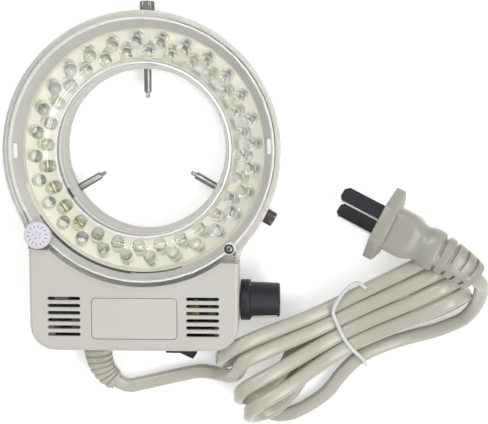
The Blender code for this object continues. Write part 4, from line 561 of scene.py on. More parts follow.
def make_finishes(colours):
    """Make every finish once."""
    housing, cord, knob = tuple(colours.housing), tuple(colours.cord), tuple(colours.knob)
    carrier, cover = tuple(colours.carrier), tuple(colours.cover)
    seal_centre = AXIS + SCREW_LEFT + Vector((0.0, 0.0, TOP_Z))
    FINISHES.update({
        # Painted shade: a darker copy of the housing colour for the rear housing, whose outer wall rings the
        # cover
        "rear_shell_shade": plastic("rear_shell_shade", shade(housing, 0.90), 0.45, 40.0, 1700.0, 0.02, 0.05),
        # Painted shade: a darker copy of the housing colour, worn by the sheet over the sloping wall and by
        # the baffles
        "wall_shade": plastic("wall_lining", shade(housing, 0.82), 0.45, 40.0, 1700.0, 0.02, 0.05),
        "label_sheet": plastic(
            "label_sheet", shade(housing, 1.06), 0.32, 40.0, 2200.0, 0.015, 0.03, coat=0.2
        ),
        "housing": plastic("housing_plastic", housing, 0.42, 30.0, 1700.0, 0.025, 0.045, specks=0.08),
        "clear_plastic": clear("cover_plastic", cover, 0.03, 1.30, 0.03),
        "carrier": plastic("carrier_plastic", carrier, 0.65, 60.0, 2200.0, 0.02, 0.05),
        "lamp_epoxy": clear("lamp_epoxy", (0.91, 0.91, 0.87), 0.015, 1.52, 0.08),
        "circuit_board": board_green("board_mask"),
        "bright_steel": metal("turned_steel", (0.56, 0.56, 0.55), 0.24),
        "grey_steel": metal("plated_steel", (0.36, 0.37, 0.36), 0.34),
        "dark_steel": metal("dark_plating", (0.20, 0.195, 0.18), 0.32, 700.0, 0.3),
        # The second colour is a painted highlight on the blades' edge faces
        "blade_steel": blade_metal("blade_plating", (0.075, 0.082, 0.09), (0.78, 0.78, 0.74)),
        # The black zinc of the cover screws' slot, also worn by the strips and rings that paint shadow
        "black_screw": metal("black_zinc_and_painted_shadow", (0.05, 0.05, 0.055), 0.4, 700.0, 0.4),
        "brass": metal("turned_brass", (0.72, 0.53, 0.23), 0.3),
        "black_plastic": plastic("black_plastic", knob, 0.46, 90.0, 2600.0, 0.03, 0.12, coat=0.05),
        "cord_plastic": plastic("cord_jacket", cord, 0.24, 55.0, 1500.0, 0.02, 0.06, 0.06, 0.4),
        # Painted shade: the plug wears a darker copy of the cord colour
        "plug_shaded_plastic": plastic("plug_moulding", shade(cord, 0.74), 0.3, 55.0, 1500.0, 0.03, 0.06, 0.04, 0.3),
        # Also worn by the knob's strip of painted reflection
        "pale_plastic": plastic("pale_plastic", (0.70, 0.69, 0.66), 0.45, 80.0, 2400.0, 0.02, 0.05),
        "tie_plastic": plastic("tie_plastic", (0.80, 0.81, 0.80), 0.3, 200.0, 3000.0, 0.02, 0.06, coat=0.3),
        "seal_paper": seal_paper("seal_print", seal_centre),
        "seal_ink": plastic("seal_ink", (0.22, 0.28, 0.52), 0.5, 300.0, 4000.0, 0.005, 0.3),
        "copper_winding": wound_wire("copper_winding", (0.60, 0.26, 0.10)),
        "ferrite": plastic("ferrite", (0.05, 0.05, 0.055), 0.7, 150.0, 3500.0, 0.05, 0.2),
        "blue_film": plastic("film_dip", (0.03, 0.10, 0.35), 0.25, 80.0, 1500.0, 0.03, 0.1, coat=0.3),
        "red_wire": plastic("red_insulation", (0.50, 0.03, 0.02), 0.4, 100.0, 2500.0, 0.02, 0.1),
        "black_wire": plastic("black_insulation", (0.03, 0.03, 0.03), 0.4, 100.0, 2500.0, 0.02, 0.1),
        "phosphor": plastic("phosphor", (0.82, 0.82, 0.42), 0.5, 400.0, 4000.0, 0.02, 0.15),
        "pale_phosphor": plastic("pale_phosphor", (0.78, 0.78, 0.68), 0.5, 400.0, 4000.0, 0.02, 0.15),
    })


# Solids that stay in sight and don't wear the finish of their slot
OWN_FINISH = {
    # The rear housing wears a darker copy of the housing colour: painted shade
    "rear_housing": "rear_shell_shade",
    "label_plate": "label_sheet",
    "plug_blade_upper": "blade_steel",
    "plug_blade_lower": "blade_steel",
}


def dress_solids():
    """Give every solid that stays in sight its finish, by the record's slots."""
    for row in frame["record"]["subparts"]:
        node = frame["nodes"][row["node"]]
        node.data.materials.clear()
        node.data.materials.append(FINISHES[OWN_FINISH.get(row["node"], row["material_slot"])])


# Values that a user would change


def number(label, text, default, low, high, unit="NONE"):
    """Make a float property."""
    limits = {"default": default, "min": low, "max": high}
    return FloatProperty(name=label, description=text, unit=unit, precision=5, **limits)


def size(label, text, default, low, high):
    """Make a length property from millimetres."""
    return number(label, text, default * MM, low * MM, high * MM, "LENGTH")


def tilt(label, text, default, high):
    """Make an angle property from degrees."""
    return number(label, text, math.radians(default), 0.0, math.radians(high), "ROTATION")


def whole(label, text, default, low, high):
    """Make a property for a count."""
    return IntProperty(name=label, description=text, default=default, min=low, max=high)


def colour(label, text, default):
    """Make a colour property."""
    settings = {"subtype": "COLOR", "size": 3, "min": 0.0, "max": 1.0}
    return FloatVectorProperty(name=label, description=text, default=default, **settings)


class RingLightColours(bpy.types.PropertyGroup):
    """Colours of the main finishes."""

    housing: colour("Housing", "Colour of the moulded shells", (0.640, 0.625, 0.570))
    carrier: colour("Carrier", "Colour of the cone behind the lamps", (0.730, 0.715, 0.590))
    cover: colour("Cover", "Tint of the clear cover", (0.965, 0.975, 0.970))
    knob: colour("Knob", "Colour of the knob and the switch", (0.012, 0.016, 0.020))
    # The plug wears this colour darkened: painted shade
    cord: colour("Cord", "Colour of the cord, its strain relief and the plug", (0.560, 0.550, 0.460))


class RingLightLamps(bpy.types.PropertyGroup):
    """Sizes of the two rows of lamps."""

    count: whole("Lamps in a row", "Lamps in each of the two rows", 28, 8, 40)
    radius: size("Radius", "Radius of one lamp's body", 2.5, 1.0, 3.0)
    length: size("Length", "Height of one lamp over its carrier", 8.4, 4.0, 9.0)
    outer_row: size("Outer row", "Distance of the outer row from the axis", 42.4, 40.0, 43.0)
    inner_row: size("Inner row", "Distance of the inner row from the axis", 38.5, 37.0, 40.0)
    lean: tilt("Lean", "How far the lamps lean to the axis", 22.0, 40.0)
    first: tilt("First lamp", "Angle of the outer row's first lamp", 3.3, 360.0)


class RingLightTrim(bpy.types.PropertyGroup):
    """Sizes of the cover, the knob and the small metal pieces."""

    facets: whole("Cover steps", "Steps round the clear cover", 288, 96, 720)
    rim: size("Cover rim", "Rounding of the clear cover's outer rim", 0.5, 0.2, 1.2)
    lip: size("Bore lip", "Width of the cover's rounded slope down into the bore", 4.0, 0.5, 4.5)
    knob_length: size("Knob length", "Length of the dimmer knob", 15.0, 10.0, 15.2)
    knob_radius: size("Knob radius", "Radius of the knob's grip", 6.9, 5.0, 7.0)
    knurls: whole("Knurls", "Ridges round a thumbscrew's head", 26, 8, 60)


class RingLightCord(bpy.types.PropertyGroup):
    """Sizes of the cord and what is on it."""

    width: size("Cord width", "Width of the flat cord", 5.6, 3.0, 6.5)
    thickness: size("Cord thickness", "Thickness of the flat cord", 4.1, 2.0, 5.0)
    tie: size("Tie radius", "Radius of the twist tie", 0.75, 0.3, 1.0)
    rib_depth: size("Rib depth", "Depth of the grooves in the strain relief", 0.9, 0.1, 1.0)


class RingLightStage(bpy.types.PropertyGroup):
    """Floor, light and camera."""

    key: number("Key light", "Power of the main light in watts", 2.0, 0.0, 50.0)
    fill: number("Fill light", "Power of the second light in watts", 3.0, 0.0, 50.0)
    rim: number("Rim light", "Power of the narrow light from the lower right in watts", 0.9, 0.0, 50.0)
    world: number("Room light", "Strength of the even light from all round", 0.48, 0.0, 2.0)
    lens: number("Lens", "Focal length in millimetres", 107.9115, 20.0, 300.0)
    shown: BoolProperty(name="Floor", description="Make the floor", default=True)


# Places of the cord: vectors and lengths with MM are in metres, other lengths in millimetres.
# The hank has its own directions: u along it, v across it, and z up.

CORD_R = 2.5 * MM
GAP = 0.3 * MM
ON_FLOOR = 2.6
ENTRY = Vector((-20.0 * MM, BOX_BOTTOM_Y - GAP, 10.5 * MM))
BOOT_TIP = Vector((-13.8 * MM, -92.3 * MM, 4.3 * MM))
BOOT_TIP_HEADING = Vector((0.86, -0.46, -0.22)).normalized()
LEAD_ROUTE = ((-2.5, -93.6, ON_FLOOR),)
TAIL_ROUTE = (
    (121.3, -67.6, 3.6), (124.6, -64.2, 6.4), (126.9, -59.8, 10.6), (127.8, -55.2, 15.4),
    (127.6, -51.6, 20.0),
)
HANK_CENTRE = (75.5, -68.5)
HANK_HEADING = math.radians(27.7)
TURN_U = 39.0
TURN_REACH = 9.0
RUN_POINTS = 8
TURN_POINTS = 4
TOP_SLOT = (1, 0, 2, 3)
WAIST_PITCH = 5.6
RIGHT_PITCH = 6.1
LEFT_V = (13.0, 6.5, -2.5, -10.5)
LEFT_LEAN = -7.0
RIGHT_LEAN = -4.0
LOW_WAIST_V = (7.3, 1.7, -3.9, -9.5)
LOW_LEFT_Z = (ON_FLOOR, 8.6, 8.6)
LOW_WAIST_Z = 4.8
TOP_WAIST_Z = 10.7
TOP_LEFT_Z = 22.6
TOP_RIGHT_Z = 20.0
CROSS_RIGHT_U = (12.0, 37.0)
CROSS_LEFT_U = (12.0, 15.0, 7.0)
CROSS_RISE = 6.2
CROSS_NEAR_U = 7.5
CROSS_NEAR_L = 10.0
CROSS_FAR_L = 11.0
WAIST_HALF = 12.0
LEFT_CLIMB_U = 3.0
LEFT_CLIMB_L = 16.0
HANK_START = (
    (-67.4, 10.6, ON_FLOOR), (-58.9, 8.0, ON_FLOOR), (-53.0, 4.4, 4.6), (-48.0, 2.2, 11.0),
    (-43.5, 3.6, 18.4),
)
HANK_FINISH = (
    (-26.0, -10.3, ON_FLOOR), (-36.0, -10.8, ON_FLOOR), (-42.4, -14.0, ON_FLOOR),
    (-41.6, -20.0, ON_FLOOR), (-34.0, -23.4, ON_FLOOR), (-20.0, -22.6, ON_FLOOR),
    (-9.0, -17.8, 4.0), (0.0, -15.1, 4.8), (9.0, -15.4, 4.0),
    (19.0, -17.2, ON_FLOOR), (29.0, -19.4, ON_FLOOR), (31.5, -19.9, ON_FLOOR),
)
TIE_ROUTE = (
    (15.1, 9.6, 18.0), (12.9, 13.2, 17.4), (7.4, 12.4, 16.8), (2.7, 9.9, 15.6), (-0.6, 6.8, 15.0),
    (-1.2, 2.4, 14.8), (-1.6, -3.0, 14.8), (-0.8, -9.0, 14.8), (0.9, -14.8, 12.2), (0.6, -19.0, 6.2),
    (0.2, -18.6, 1.9), (0.0, -14.0, 1.1), (0.2, -6.0, 1.1), (0.5, 2.0, 1.1), (1.0, 9.6, 1.2),
)
CORD_STEP = 2.4 * MM
TIE_STEP = 1.2 * MM
WIRE_STEP = 0.8 * MM
WIRE_R = 0.6 * MM
WIRE_X = {"red": -2.0, "black": 2.0}
WIRE_ROUTE = ((-41.0, 10.0), (-41.3, 8.0), (-48.2, 6.0), (-50.9, 9.2), (-51.8, 9.8), (-52.6, 7.2))


def smooth_route(points, step):
    """Return points about a step apart on a smooth curve through the given points."""
    ends = [points[0] * 2 - points[1], points[-1] * 2 - points[-2]]
    chain = [ends[0]] + points + [ends[1]]
    fine = []
    for p0, p1, p2, p3 in zip(chain, chain[1:], chain[2:], chain[3:]):
        for i in range(24):
            t = i / 24
            near = p1 * 2 + (p2 - p0) * t + (p0 * 2 - p1 * 5 + p2 * 4 - p3) * t * t
            fine.append((near + (p1 * 3 - p0 - p2 * 3 + p3) * t ** 3) / 2)
    fine.append(points[-1])
    return respaced(fine, step)


def respaced(fine, step):
    """Return points about a step apart along a fine route."""
    lengths = [0.0]
    for a, b in zip(fine, fine[1:]):
        lengths.append(lengths[-1] + (b - a).length)
    count = max(2, round(lengths[-1] / step))
    route = []
    place = 0
    for i in range(count + 1):
        goal = lengths[-1] * i / count
        while place < len(lengths) - 2 and lengths[place + 1] < goal:
            place += 1
        share = (goal - lengths[place]) / max(lengths[place + 1] - lengths[place], 1e-9)
        route.append(fine[place].lerp(fine[place + 1], min(1.0, share)))
    return route


def ease(value):
    """Return a smooth step from 0 to 1."""
    t = max(0.0, min(1.0, value))
    return t * t * (3 - 2 * t)


def top_place(slot, u):
    """Return (v, z) of one of the hank's top strands."""
    middle = (len(TOP_SLOT) - 1) / 2
    share = ease(abs(u) / TURN_U)
    waist = (middle - slot) * WAIST_PITCH
    end = LEFT_V[slot] if u < 0 else (middle - slot) * RIGHT_PITCH
    end_z = TOP_LEFT_Z if u < 0 else TOP_RIGHT_Z
    return between(waist, end, share), between(TOP_WAIST_Z, end_z, share)


def low_place(run, u):
    """Return (v, z) of one of the hank's bottom strands."""
    waist = LOW_WAIST_V[run]
    z = between(ON_FLOOR, LOW_WAIST_Z, ease(1 - abs(u) / WAIST_HALF))
    if u >= 0:
        end = top_place(TOP_SLOT[run], TURN_U)[0] + RIGHT_LEAN
        if run == 0:
            z += CROSS_RISE * ease((u - CROSS_NEAR_U) / CROSS_NEAR_L) * ease((TURN_U - u) / CROSS_FAR_L)
        near, far = CROSS_RIGHT_U
        return between(waist, end, ease((u - near) / (far - near))), z
    if run + 1 == len(TOP_SLOT):
        return waist, z
    end = LEFT_V[TOP_SLOT[run + 1]] + LEFT_LEAN
    climb = ease((-u - LEFT_CLIMB_U) / LEFT_CLIMB_L) * (LOW_LEFT_Z[run] - ON_FLOOR)
    near = CROSS_LEFT_U[run]
    return between(waist, end, ease((-u - near) / (TURN_U - near))), z + climb


def hank_turn(u, start, end, way):
    """Return the points inside a turn at an end of the hank."""
    points = []
    for i in range(1, TURN_POINTS + 1):
        turn = math.pi * i / (TURN_POINTS + 1)
        share = (1 - math.cos(turn)) / 2
        v, z = (between(a, b, share) for a, b in zip(start, end))
        points.append((u + way * TURN_REACH * math.sin(turn), v, z))
    return points


def hank_points():
    """Return the hank's route as (u, v, z): four loops, then a turn on the floor."""
    points = list(HANK_START)
    last = len(TOP_SLOT) - 1
    for run, slot in enumerate(TOP_SLOT):
        for i in range(RUN_POINTS + 1):
            u = between(-TURN_U, TURN_U, i / RUN_POINTS)
            points.append((u, *top_place(slot, u)))
        points += hank_turn(TURN_U, top_place(slot, TURN_U), low_place(run, TURN_U), 1)
        stop = RUN_POINTS if run < last else RUN_POINTS // 2 + 1
        for i in range(stop + 1):
            u = between(TURN_U, -TURN_U, i / RUN_POINTS)
            points.append((u, *low_place(run, u)))
        if run < last:
            points += hank_turn(-TURN_U, low_place(run, -TURN_U), top_place(TOP_SLOT[run + 1], -TURN_U), -1)
    return points + list(HANK_FINISH)


def hank_place(u, v, z):
    """Turn a place in the hank's own directions into a point, in metres."""
    c, s = math.cos(HANK_HEADING), math.sin(HANK_HEADING)
    return Vector((HANK_CENTRE[0] + u * c - v * s, HANK_CENTRE[1] + u * s + v * c, z)) * MM


def cord_route():
    """Return the whole cord's route, from inside the strain relief to inside the plug, in metres."""
    end = plug_frame() @ along_plug(plug_length())
    away = (end.to_3x3() @ UP).normalized()
    back = end.to_translation()
    straight = GAP + 2 * CORD_R
    points = [BOOT_TIP - BOOT_TIP_HEADING * 3 * MM, BOOT_TIP, BOOT_TIP + BOOT_TIP_HEADING * straight]
    points += [Vector(point) * MM for point in LEAD_ROUTE]
    points += [hank_place(*point) for point in hank_points()]
    points += [Vector(point) * MM for point in TAIL_ROUTE]
    points += [back + away * straight, back, back - away * 2 * MM]
    return smooth_route(points, CORD_STEP)


def heading_at(route, i):
    """Return the direction of a route at one of its points."""
    return (route[min(i + 1, len(route) - 1)] - route[max(i - 1, 0)]).normalized()


def section_sides(route):
    """Return a level side direction for each point of a route, carried over where it climbs."""
    sides = []
    side = None
    for i in range(len(route)):
        heading = heading_at(route, i)
        level = heading.cross(UP)
        if side is None:
            side = level.normalized()
        if level.length > 0.5:
            level.normalize()
            goal = level if level.dot(side) > 0 else -level
            side = side.lerp(goal, 0.35)
        side = (side - heading * side.dot(heading)).normalized()
        sides.append(side)
    return sides


def swept(name, route, section, sides):
    """Sweep a closed section along a route, its first axis along the sides."""
    loops = []
    for i, point in enumerate(route):
        heading = heading_at(route, i)
        side = (sides[i] - heading * sides[i].dot(heading)).normalized()
        rise = side.cross(heading)
        loops.append([point + side * a + rise * b for a, b in section])
    return loft(name, loops, angle=60.0)


def round_section(radius, sides):
    """Return the section of a round wire."""
    return [(point.x, point.y) for point in circle(radius, 0.0, sides)]


def cord_section(width, thickness, points=28):
    """Return the section of a flat two-core cord: full sides and a slight valley between."""
    section = []
    for i in range(points):
        turn = TURN * i / points
        c, s = math.cos(turn), math.sin(turn)
        a = math.copysign(abs(c) ** 0.85, c) * width / 2
        valley = 1 - 0.05 * math.exp(-((a / (0.16 * width)) ** 2))
        b = math.copysign(abs(s) ** 0.8, s) * thickness / 2 * valley
        section.append((a, b))
    return section


# Plug and strain relief

PLUG_FACE = Vector((88.7 * MM, -26.3 * MM, 28.6 * MM))
PLUG_HEADING = math.radians(-26.8)
PLUG_DIP = math.radians(10)
PLUG_REST = 22.0 * MM
PLATE_OUTLINE = ((14.6, 0.0), (7.0, 9.2), (-7.0, 9.2), (-14.6, 0.0), (-7.0, -9.2), (7.0, -9.2))
PLATE_BACK_SHARE = 10.6 / 14.6
PLATE_BACK_SLOPE = 1.2 * MM
PLATE_ROUND = 0.45 * MM
FLANGE_T = 6.6 * MM
FLANGE_EDGE_T = 3.8 * MM
BODY_L = 8.0 * MM
NECK_L = 3.6 * MM
BULGE_L = 7.0 * MM
PLUG_RIBS = 4
RIB_PITCH = 3.8 * MM
RIB_DEPTH = 1.1 * MM
RIB_SLOTS_AT = math.radians(112)
PLUG_BEND = math.radians(42)
PLUG_BEND_TOWARDS = (-0.40, -0.92)
BLADE_TILT = math.radians(58)
BLADE_X = (-6.35, 6.35)
BLADE_SEAT = ((-1.05, -3.45, -5.0), (1.05, 3.45, 4.3))
BOOT_RIBS = 8
BOOT_RIB_SHARES = (
    (0.02, 0.1), (0.1, 0.0), (0.35, 0.0), (0.58, 0.05), (0.68, 0.4), (0.76, 1.0), (0.88, 1.0), (0.96, 0.4),
)


def plug_frame():
    """Return the plug's frame: origin on its face, Z towards the cord, X level; its nose dips."""
    c, s = math.cos(PLUG_HEADING), math.sin(PLUG_HEADING)
    turn = Matrix(((-s, 0.0, c), (c, 0.0, s), (0.0, 1.0, 0.0))).to_4x4()
    rest = Vector((0.0, 0.0, PLUG_REST))
    dip = Matrix.Translation(rest) @ Matrix.Rotation(-PLUG_DIP, 4, "X") @ Matrix.Translation(-rest)
    return Matrix.Translation(PLUG_FACE) @ turn @ dip


def plug_length():
    """Return the plug's length from its face to where the cord enters."""
    return FLANGE_T + BODY_L + NECK_L + BULGE_L + PLUG_RIBS * RIB_PITCH


def along_plug(distance):
    """Return the frame at a distance behind the plug's face; its ribbed tail bends to one side."""
    ribbed = PLUG_RIBS * RIB_PITCH
    straight = plug_length() - ribbed
    if distance <= straight:
        return Matrix.Translation((0.0, 0.0, distance))
    side = Vector((*PLUG_BEND_TOWARDS, 0.0)).normalized()
    bend = PLUG_BEND * (distance - straight) / ribbed
    radius = ribbed / PLUG_BEND
    place = side * radius * (1 - math.cos(bend)) + Vector((0.0, 0.0, straight + radius * math.sin(bend)))
    return Matrix.Translation(place) @ Matrix.Rotation(bend, 4, UP.cross(side))


def oblong(width, height, power, points, trim=None):
    """Return a rounded oblong section; a higher power gives squarer corners."""
    section = []
    for i in range(points):
        turn = TURN * i / points
        c, s = math.cos(turn), math.sin(turn)
        left = 1.0 - (trim(turn) if trim else 0.0)
        a = math.copysign(abs(c) ** (2 / power), c) * width / 2 * left
        b = math.copysign(abs(s) ** (2 / power), s) * height / 2 * left
        section.append((a, b))
    return section


def plug_profile():
    """Return the plug's sections behind its plate as (distance, width, height, power, groove)."""
    rows = [(FLANGE_EDGE_T, 17.4, 14.0, 5.0, 0), (FLANGE_T, 17.4, 14.0, 5.0, 0)]
    z = FLANGE_T + BODY_L
    rows += [(z - 3.4 * MM, 17.4, 14.0, 5.0, 0), (z - 1.4 * MM, 16.9, 13.7, 4.0, 0), (z, 15.8, 13.0, 3.2, 0)]
    rows += [(z + 1.4 * MM, 14.5, 12.0, 2.8, 0), (z + NECK_L * 0.7, 13.9, 11.6, 2.6, 0)]
    z += NECK_L
    bulge = ((0.0, 14.1, 11.7, 2.6), (0.15, 14.9, 12.3, 2.6), (0.35, 15.7, 12.9, 2.6))
    bulge += ((0.6, 15.9, 13.1, 2.6), (0.85, 15.4, 12.8, 2.7), (0.96, 14.7, 12.3, 2.8))
    rows += [(z + BULGE_L * share, w, h, power, 0) for share, w, h, power in bulge]
    z += BULGE_L
    steps = ((0.0, 0.0, 1), (0.2, 0.0, 1), (0.26, 0.0, 0), (0.5, 0.2, 0), (0.94, -0.2, 0))
    for rib in range(PLUG_RIBS):
        share = rib / (PLUG_RIBS - 1)
        w, h = between(14.4, 12.2, share), between(12.0, 9.8, share)
        rows += [(z + RIB_PITCH * at, w + more, h + more, 2.8, groove) for at, more, groove in steps]
        z += RIB_PITCH
    return rows + [(z - 0.2 * MM, 11.2, 8.8, 2.6, 0)]


def groove_trim(share):
    """Return how a rib's slots cut into a section: two slots with a solid band on each side."""
    def trim(turn):
        apart = abs(math.sin(turn - RIB_SLOTS_AT))
        return share * ease((apart - 0.22) / 0.12)
    return trim


def boot_frame(share):
    """Return the place and heading at a share of the way along the strain relief."""
    t = share
    pull = (BOOT_TIP - ENTRY).length
    ends = (ENTRY, Vector((0.0, -1.0, 0.0)) * pull, BOOT_TIP, BOOT_TIP_HEADING * pull)
    h = (2 * t ** 3 - 3 * t ** 2 + 1, t ** 3 - 2 * t ** 2 + t, 3 * t ** 2 - 2 * t ** 3, t ** 3 - t ** 2)
    d = (6 * t ** 2 - 6 * t, 3 * t ** 2 - 4 * t + 1, 6 * t - 6 * t ** 2, 3 * t ** 2 - 2 * t)
    place = sum((end * weight for end, weight in zip(ends, h)), Vector())
    slope = sum((end * weight for end, weight in zip(ends, d)), Vector())
    return place, slope.normalized()


def make_boot(values):
    """Make the ribbed strain relief along its bend."""
    inner = BOX_BOTTOM_Y + 3.4 * MM
    flange = ((inner + 1.6 * MM, 13.0, 9.6), (inner + 0.1 * MM, 13.0, 9.6), (inner, 12.8, 9.4))
    flange += ((inner - 0.05 * MM, 9.4, 6.6), (ENTRY.y + 0.15 * MM, 9.4, 6.6))
    rows = [(Vector((ENTRY.x, y, ENTRY.z)), Vector((0.0, -1.0, 0.0)), w, h) for y, w, h in flange]
    for rib in range(BOOT_RIBS):
        for part, depth in BOOT_RIB_SHARES:
            if rib == BOOT_RIBS - 1 and part > 0.7:
                continue
            share = (rib + part) / BOOT_RIBS
            groove = 2 * values.rib_depth / MM * depth
            w, h = between(11.6, 8.2, share) - groove, between(8.4, 6.2, share) - groove
            rows.append((*boot_frame(share), w, h))
    rows.append((*boot_frame(1.0), 7.6, 5.6))
    loops = []
    for place, heading, w, h in rows:
        side = heading.cross(UP).normalized()
        rise = side.cross(heading).normalized()
        loops.append([place + side * a * MM + rise * b * MM for a, b in oblong(w, h, 3.0, 40)])
    boot = loft("strain_relief_boot", loops, angle=40.0)
    return settle_on_axis(boot, "cord_plastic", "strain_relief")


def make_plug():
    """Make the plug: its front plate, its body and its ribbed, bent tail."""
    loops = []
    back = (FLANGE_T - PLATE_BACK_SLOPE, PLATE_BACK_SHARE)
    for z, share in ((0.0, 1.0), (FLANGE_EDGE_T, 1.0), back):
        loops.append([Vector((x * MM * share, y * MM, z)) for x, y in PLATE_OUTLINE])
    plate = bevelled(loft("plate", loops), PLATE_ROUND)
    turn = Matrix.Rotation(BLADE_TILT, 4, "Z")
    for x in BLADE_X:
        seat = box_mesh("seat", *mm(*[(x + corner[0], *corner[1:]) for corner in BLADE_SEAT]))
        cut(plate, moved(seat, turn))
    loops = []
    for z, w, h, power, groove in plug_profile():
        trim = groove_trim(2 * RIB_DEPTH / (w * MM)) if groove else None
        place = along_plug(z)
        loops.append([place @ Vector((a * MM, b * MM, 0.0)) for a, b in oblong(w, h, power, 56, trim)])
    rear = loft("rear", loops, angle=40.0)
    plug = moved(joined("plug_moulding", [plate, rear]), plug_frame())
    return settle_on_axis(plug, "plug_shaded_plastic", "plug_body", slot="cord_plastic")


def make_cord(values):
    route = [point + AXIS for point in cord_route()]
    cord = swept("mains_cord", route, cord_section(values.width, values.thickness), section_sides(route))
    settle(cord, "cord_plastic", "cord_lead", "cord_hank", "cord_tail")
    plug = make_plug()
    boot = make_boot(values)
    tie_route = smooth_route([hank_place(*point) + AXIS for point in TIE_ROUTE], TIE_STEP)
    tie = swept("tie_wire", tie_route, round_section(values.tie, 14), section_sides(tie_route))
    settle(tie, "tie_plastic", "twist_tie", slot="pale_plastic")


def make_inner_wires():
    """Make the two wires from the ring board to the driver board, each in one upright plane."""
    for label, x in WIRE_X.items():
        points = [Vector((x, y, z)) * MM + AXIS for y, z in WIRE_ROUTE]
        route = smooth_route(points, WIRE_STEP)
        sides = [Vector((1.0, 0.0, 0.0))] * len(route)
        wire = swept("inner_wire_" + label, route, round_section(WIRE_R, 12), sides)
        settle(wire, label + "_wire", "lamp_wire_" + label)


# Clear cover

COVER_EDGE_R = 51.2 * MM
HOLLOW_R = 50.1 * MM
SKIRT_Z = 22.3 * MM
SKIRT_T = 1.5 * MM
PLATE_R = 50.0 * MM
PLATE_T = 2.0 * MM
TUBE_Z = 12.31 * MM
TUBE_T = 1.5 * MM
TUBE_EDGE = 0.2 * MM
TUBE_MIDDLE_Z = 20.0 * MM
EARS = {
    "right": (36.1 * MM, 18.7 * MM, -41.5 * MM),
    "left": (-43.1 * MM, 27.6 * MM, -36.9 * MM),
}
LIP_SHARES = ((1.0, 0.0), (0.9, 0.03), (0.66, 0.14), (0.42, 0.32), (0.22, 0.55), (0.08, 0.82), (0.0, 1.05))
HOLE_PROFILE = ((1.8, 28.4), (1.8, 31.0))
SHANK_HOLE_PROFILE = ((1.25, 21.0), (1.25, 29.0))


def ear(side):
    """Return the fillet's centre and radius and the height of the ear's lower edge."""
    x, radius, low = EARS[side]
    centre_x = x + math.copysign(radius, x)
    reach = RING_R + radius
    return Vector((centre_x, -math.sqrt(reach * reach - centre_x * centre_x))), radius, low


def cover_reach(turn, inset=0.0):
    """Return how far the clear cover's outline lies from the axis at an angle."""
    c, s = math.cos(turn), math.sin(turn)
    if s >= 0:
        return RING_R - inset
    centre, radius, low = ear("right" if c > 0 else "left")
    if abs(math.atan2(s, abs(c))) < abs(math.atan2(centre.y, abs(centre.x))):
        return RING_R - inset
    near = centre.x * c + centre.y * s
    inside = near * near - centre.length_squared + (radius + inset) ** 2
    fillet = near - math.sqrt(inside) if inside > 0 and near > 0 else 1.0
    return max(COVER_EDGE_R - inset, min(fillet, (low + inset) / s))


def cover_angles(count):
    """Return even angles round the cover, with the ears' corners among them."""
    angles = {round(TURN * i / count, 6) for i in range(count)}
    for side in EARS:
        centre, radius, low = ear(side)
        sign = 1 if side == "right" else -1
        corner_x = abs(centre.x) - math.sqrt(radius * radius - (low - centre.y) ** 2)
        edge_x = math.sqrt(COVER_EDGE_R ** 2 - low * low)
        for x in (corner_x, edge_x):
            angles.add(round(math.atan2(low, sign * x) % TURN, 6))
    return sorted(angles)


def cover_loops(count, rim, lip):
    """Return the loops of the clear cover's section, round its skirt, plate and tube."""
    angles = cover_angles(count)
    low = TOP_Z - PLATE_T
    tube = BORE_R + TUBE_T

    def ring(radius, z):
        return [around(radius, turn, z) for turn in angles]

    def edge(inset, z):
        return [around(cover_reach(turn, inset), turn, z) for turn in angles]

    def hollow(z):
        return [around(max(HOLLOW_R, cover_reach(turn) - SKIRT_T), turn, z) for turn in angles]

    loops = [edge(0.0, SKIRT_Z), edge(0.0, SKIRT_Z + 0.4 * MM)]
    loops += [edge(inset, TOP_Z - drop) for inset, drop in quarter_round(rim)]
    loops += [ring(PLATE_R, TOP_Z), ring(BORE_R + lip + 0.5 * MM, TOP_Z)]
    loops += [ring(BORE_R + lip * share, TOP_Z - lip * drop) for share, drop in LIP_SHARES]
    loops += [ring(BORE_R, TUBE_MIDDLE_Z), ring(BORE_R, TUBE_Z + TUBE_EDGE), ring(BORE_R + TUBE_EDGE, TUBE_Z)]
    loops += [ring(tube - TUBE_EDGE, TUBE_Z), ring(tube, TUBE_Z + TUBE_EDGE)]
    loops += [ring(tube, TUBE_MIDDLE_Z), ring(tube, low - lip * 0.95)]
    loops += [ring(tube + lip * share * 0.9, low - lip * drop * 0.9) for share, drop in LIP_SHARES[::-1]]
    return loops + [ring(HOLLOW_R - 0.6 * MM, low), hollow(low - 0.05 * MM), hollow(SKIRT_Z)]


def make_cover(values):
    """Make the clear cover as one moulding, with its two countersunk screw holes."""
    cover = loft("cover", cover_loops(values.facets, values.rim, values.lip), cyclic=True)
    tools = []
    for place in (SCREW_RIGHT, SCREW_LEFT):
        for profile, sides in ((HOLE_PROFILE, 32), (SHANK_HOLE_PROFILE, 24)):
            tools.append(moved(turned("hole", mm(*profile), sides), Matrix.Translation(place)))
    settle_on_axis(cut(cover, *tools), "clear_plastic", "clear_cover")


# What lies under the cover, with profiles of (radius, height) in millimetres

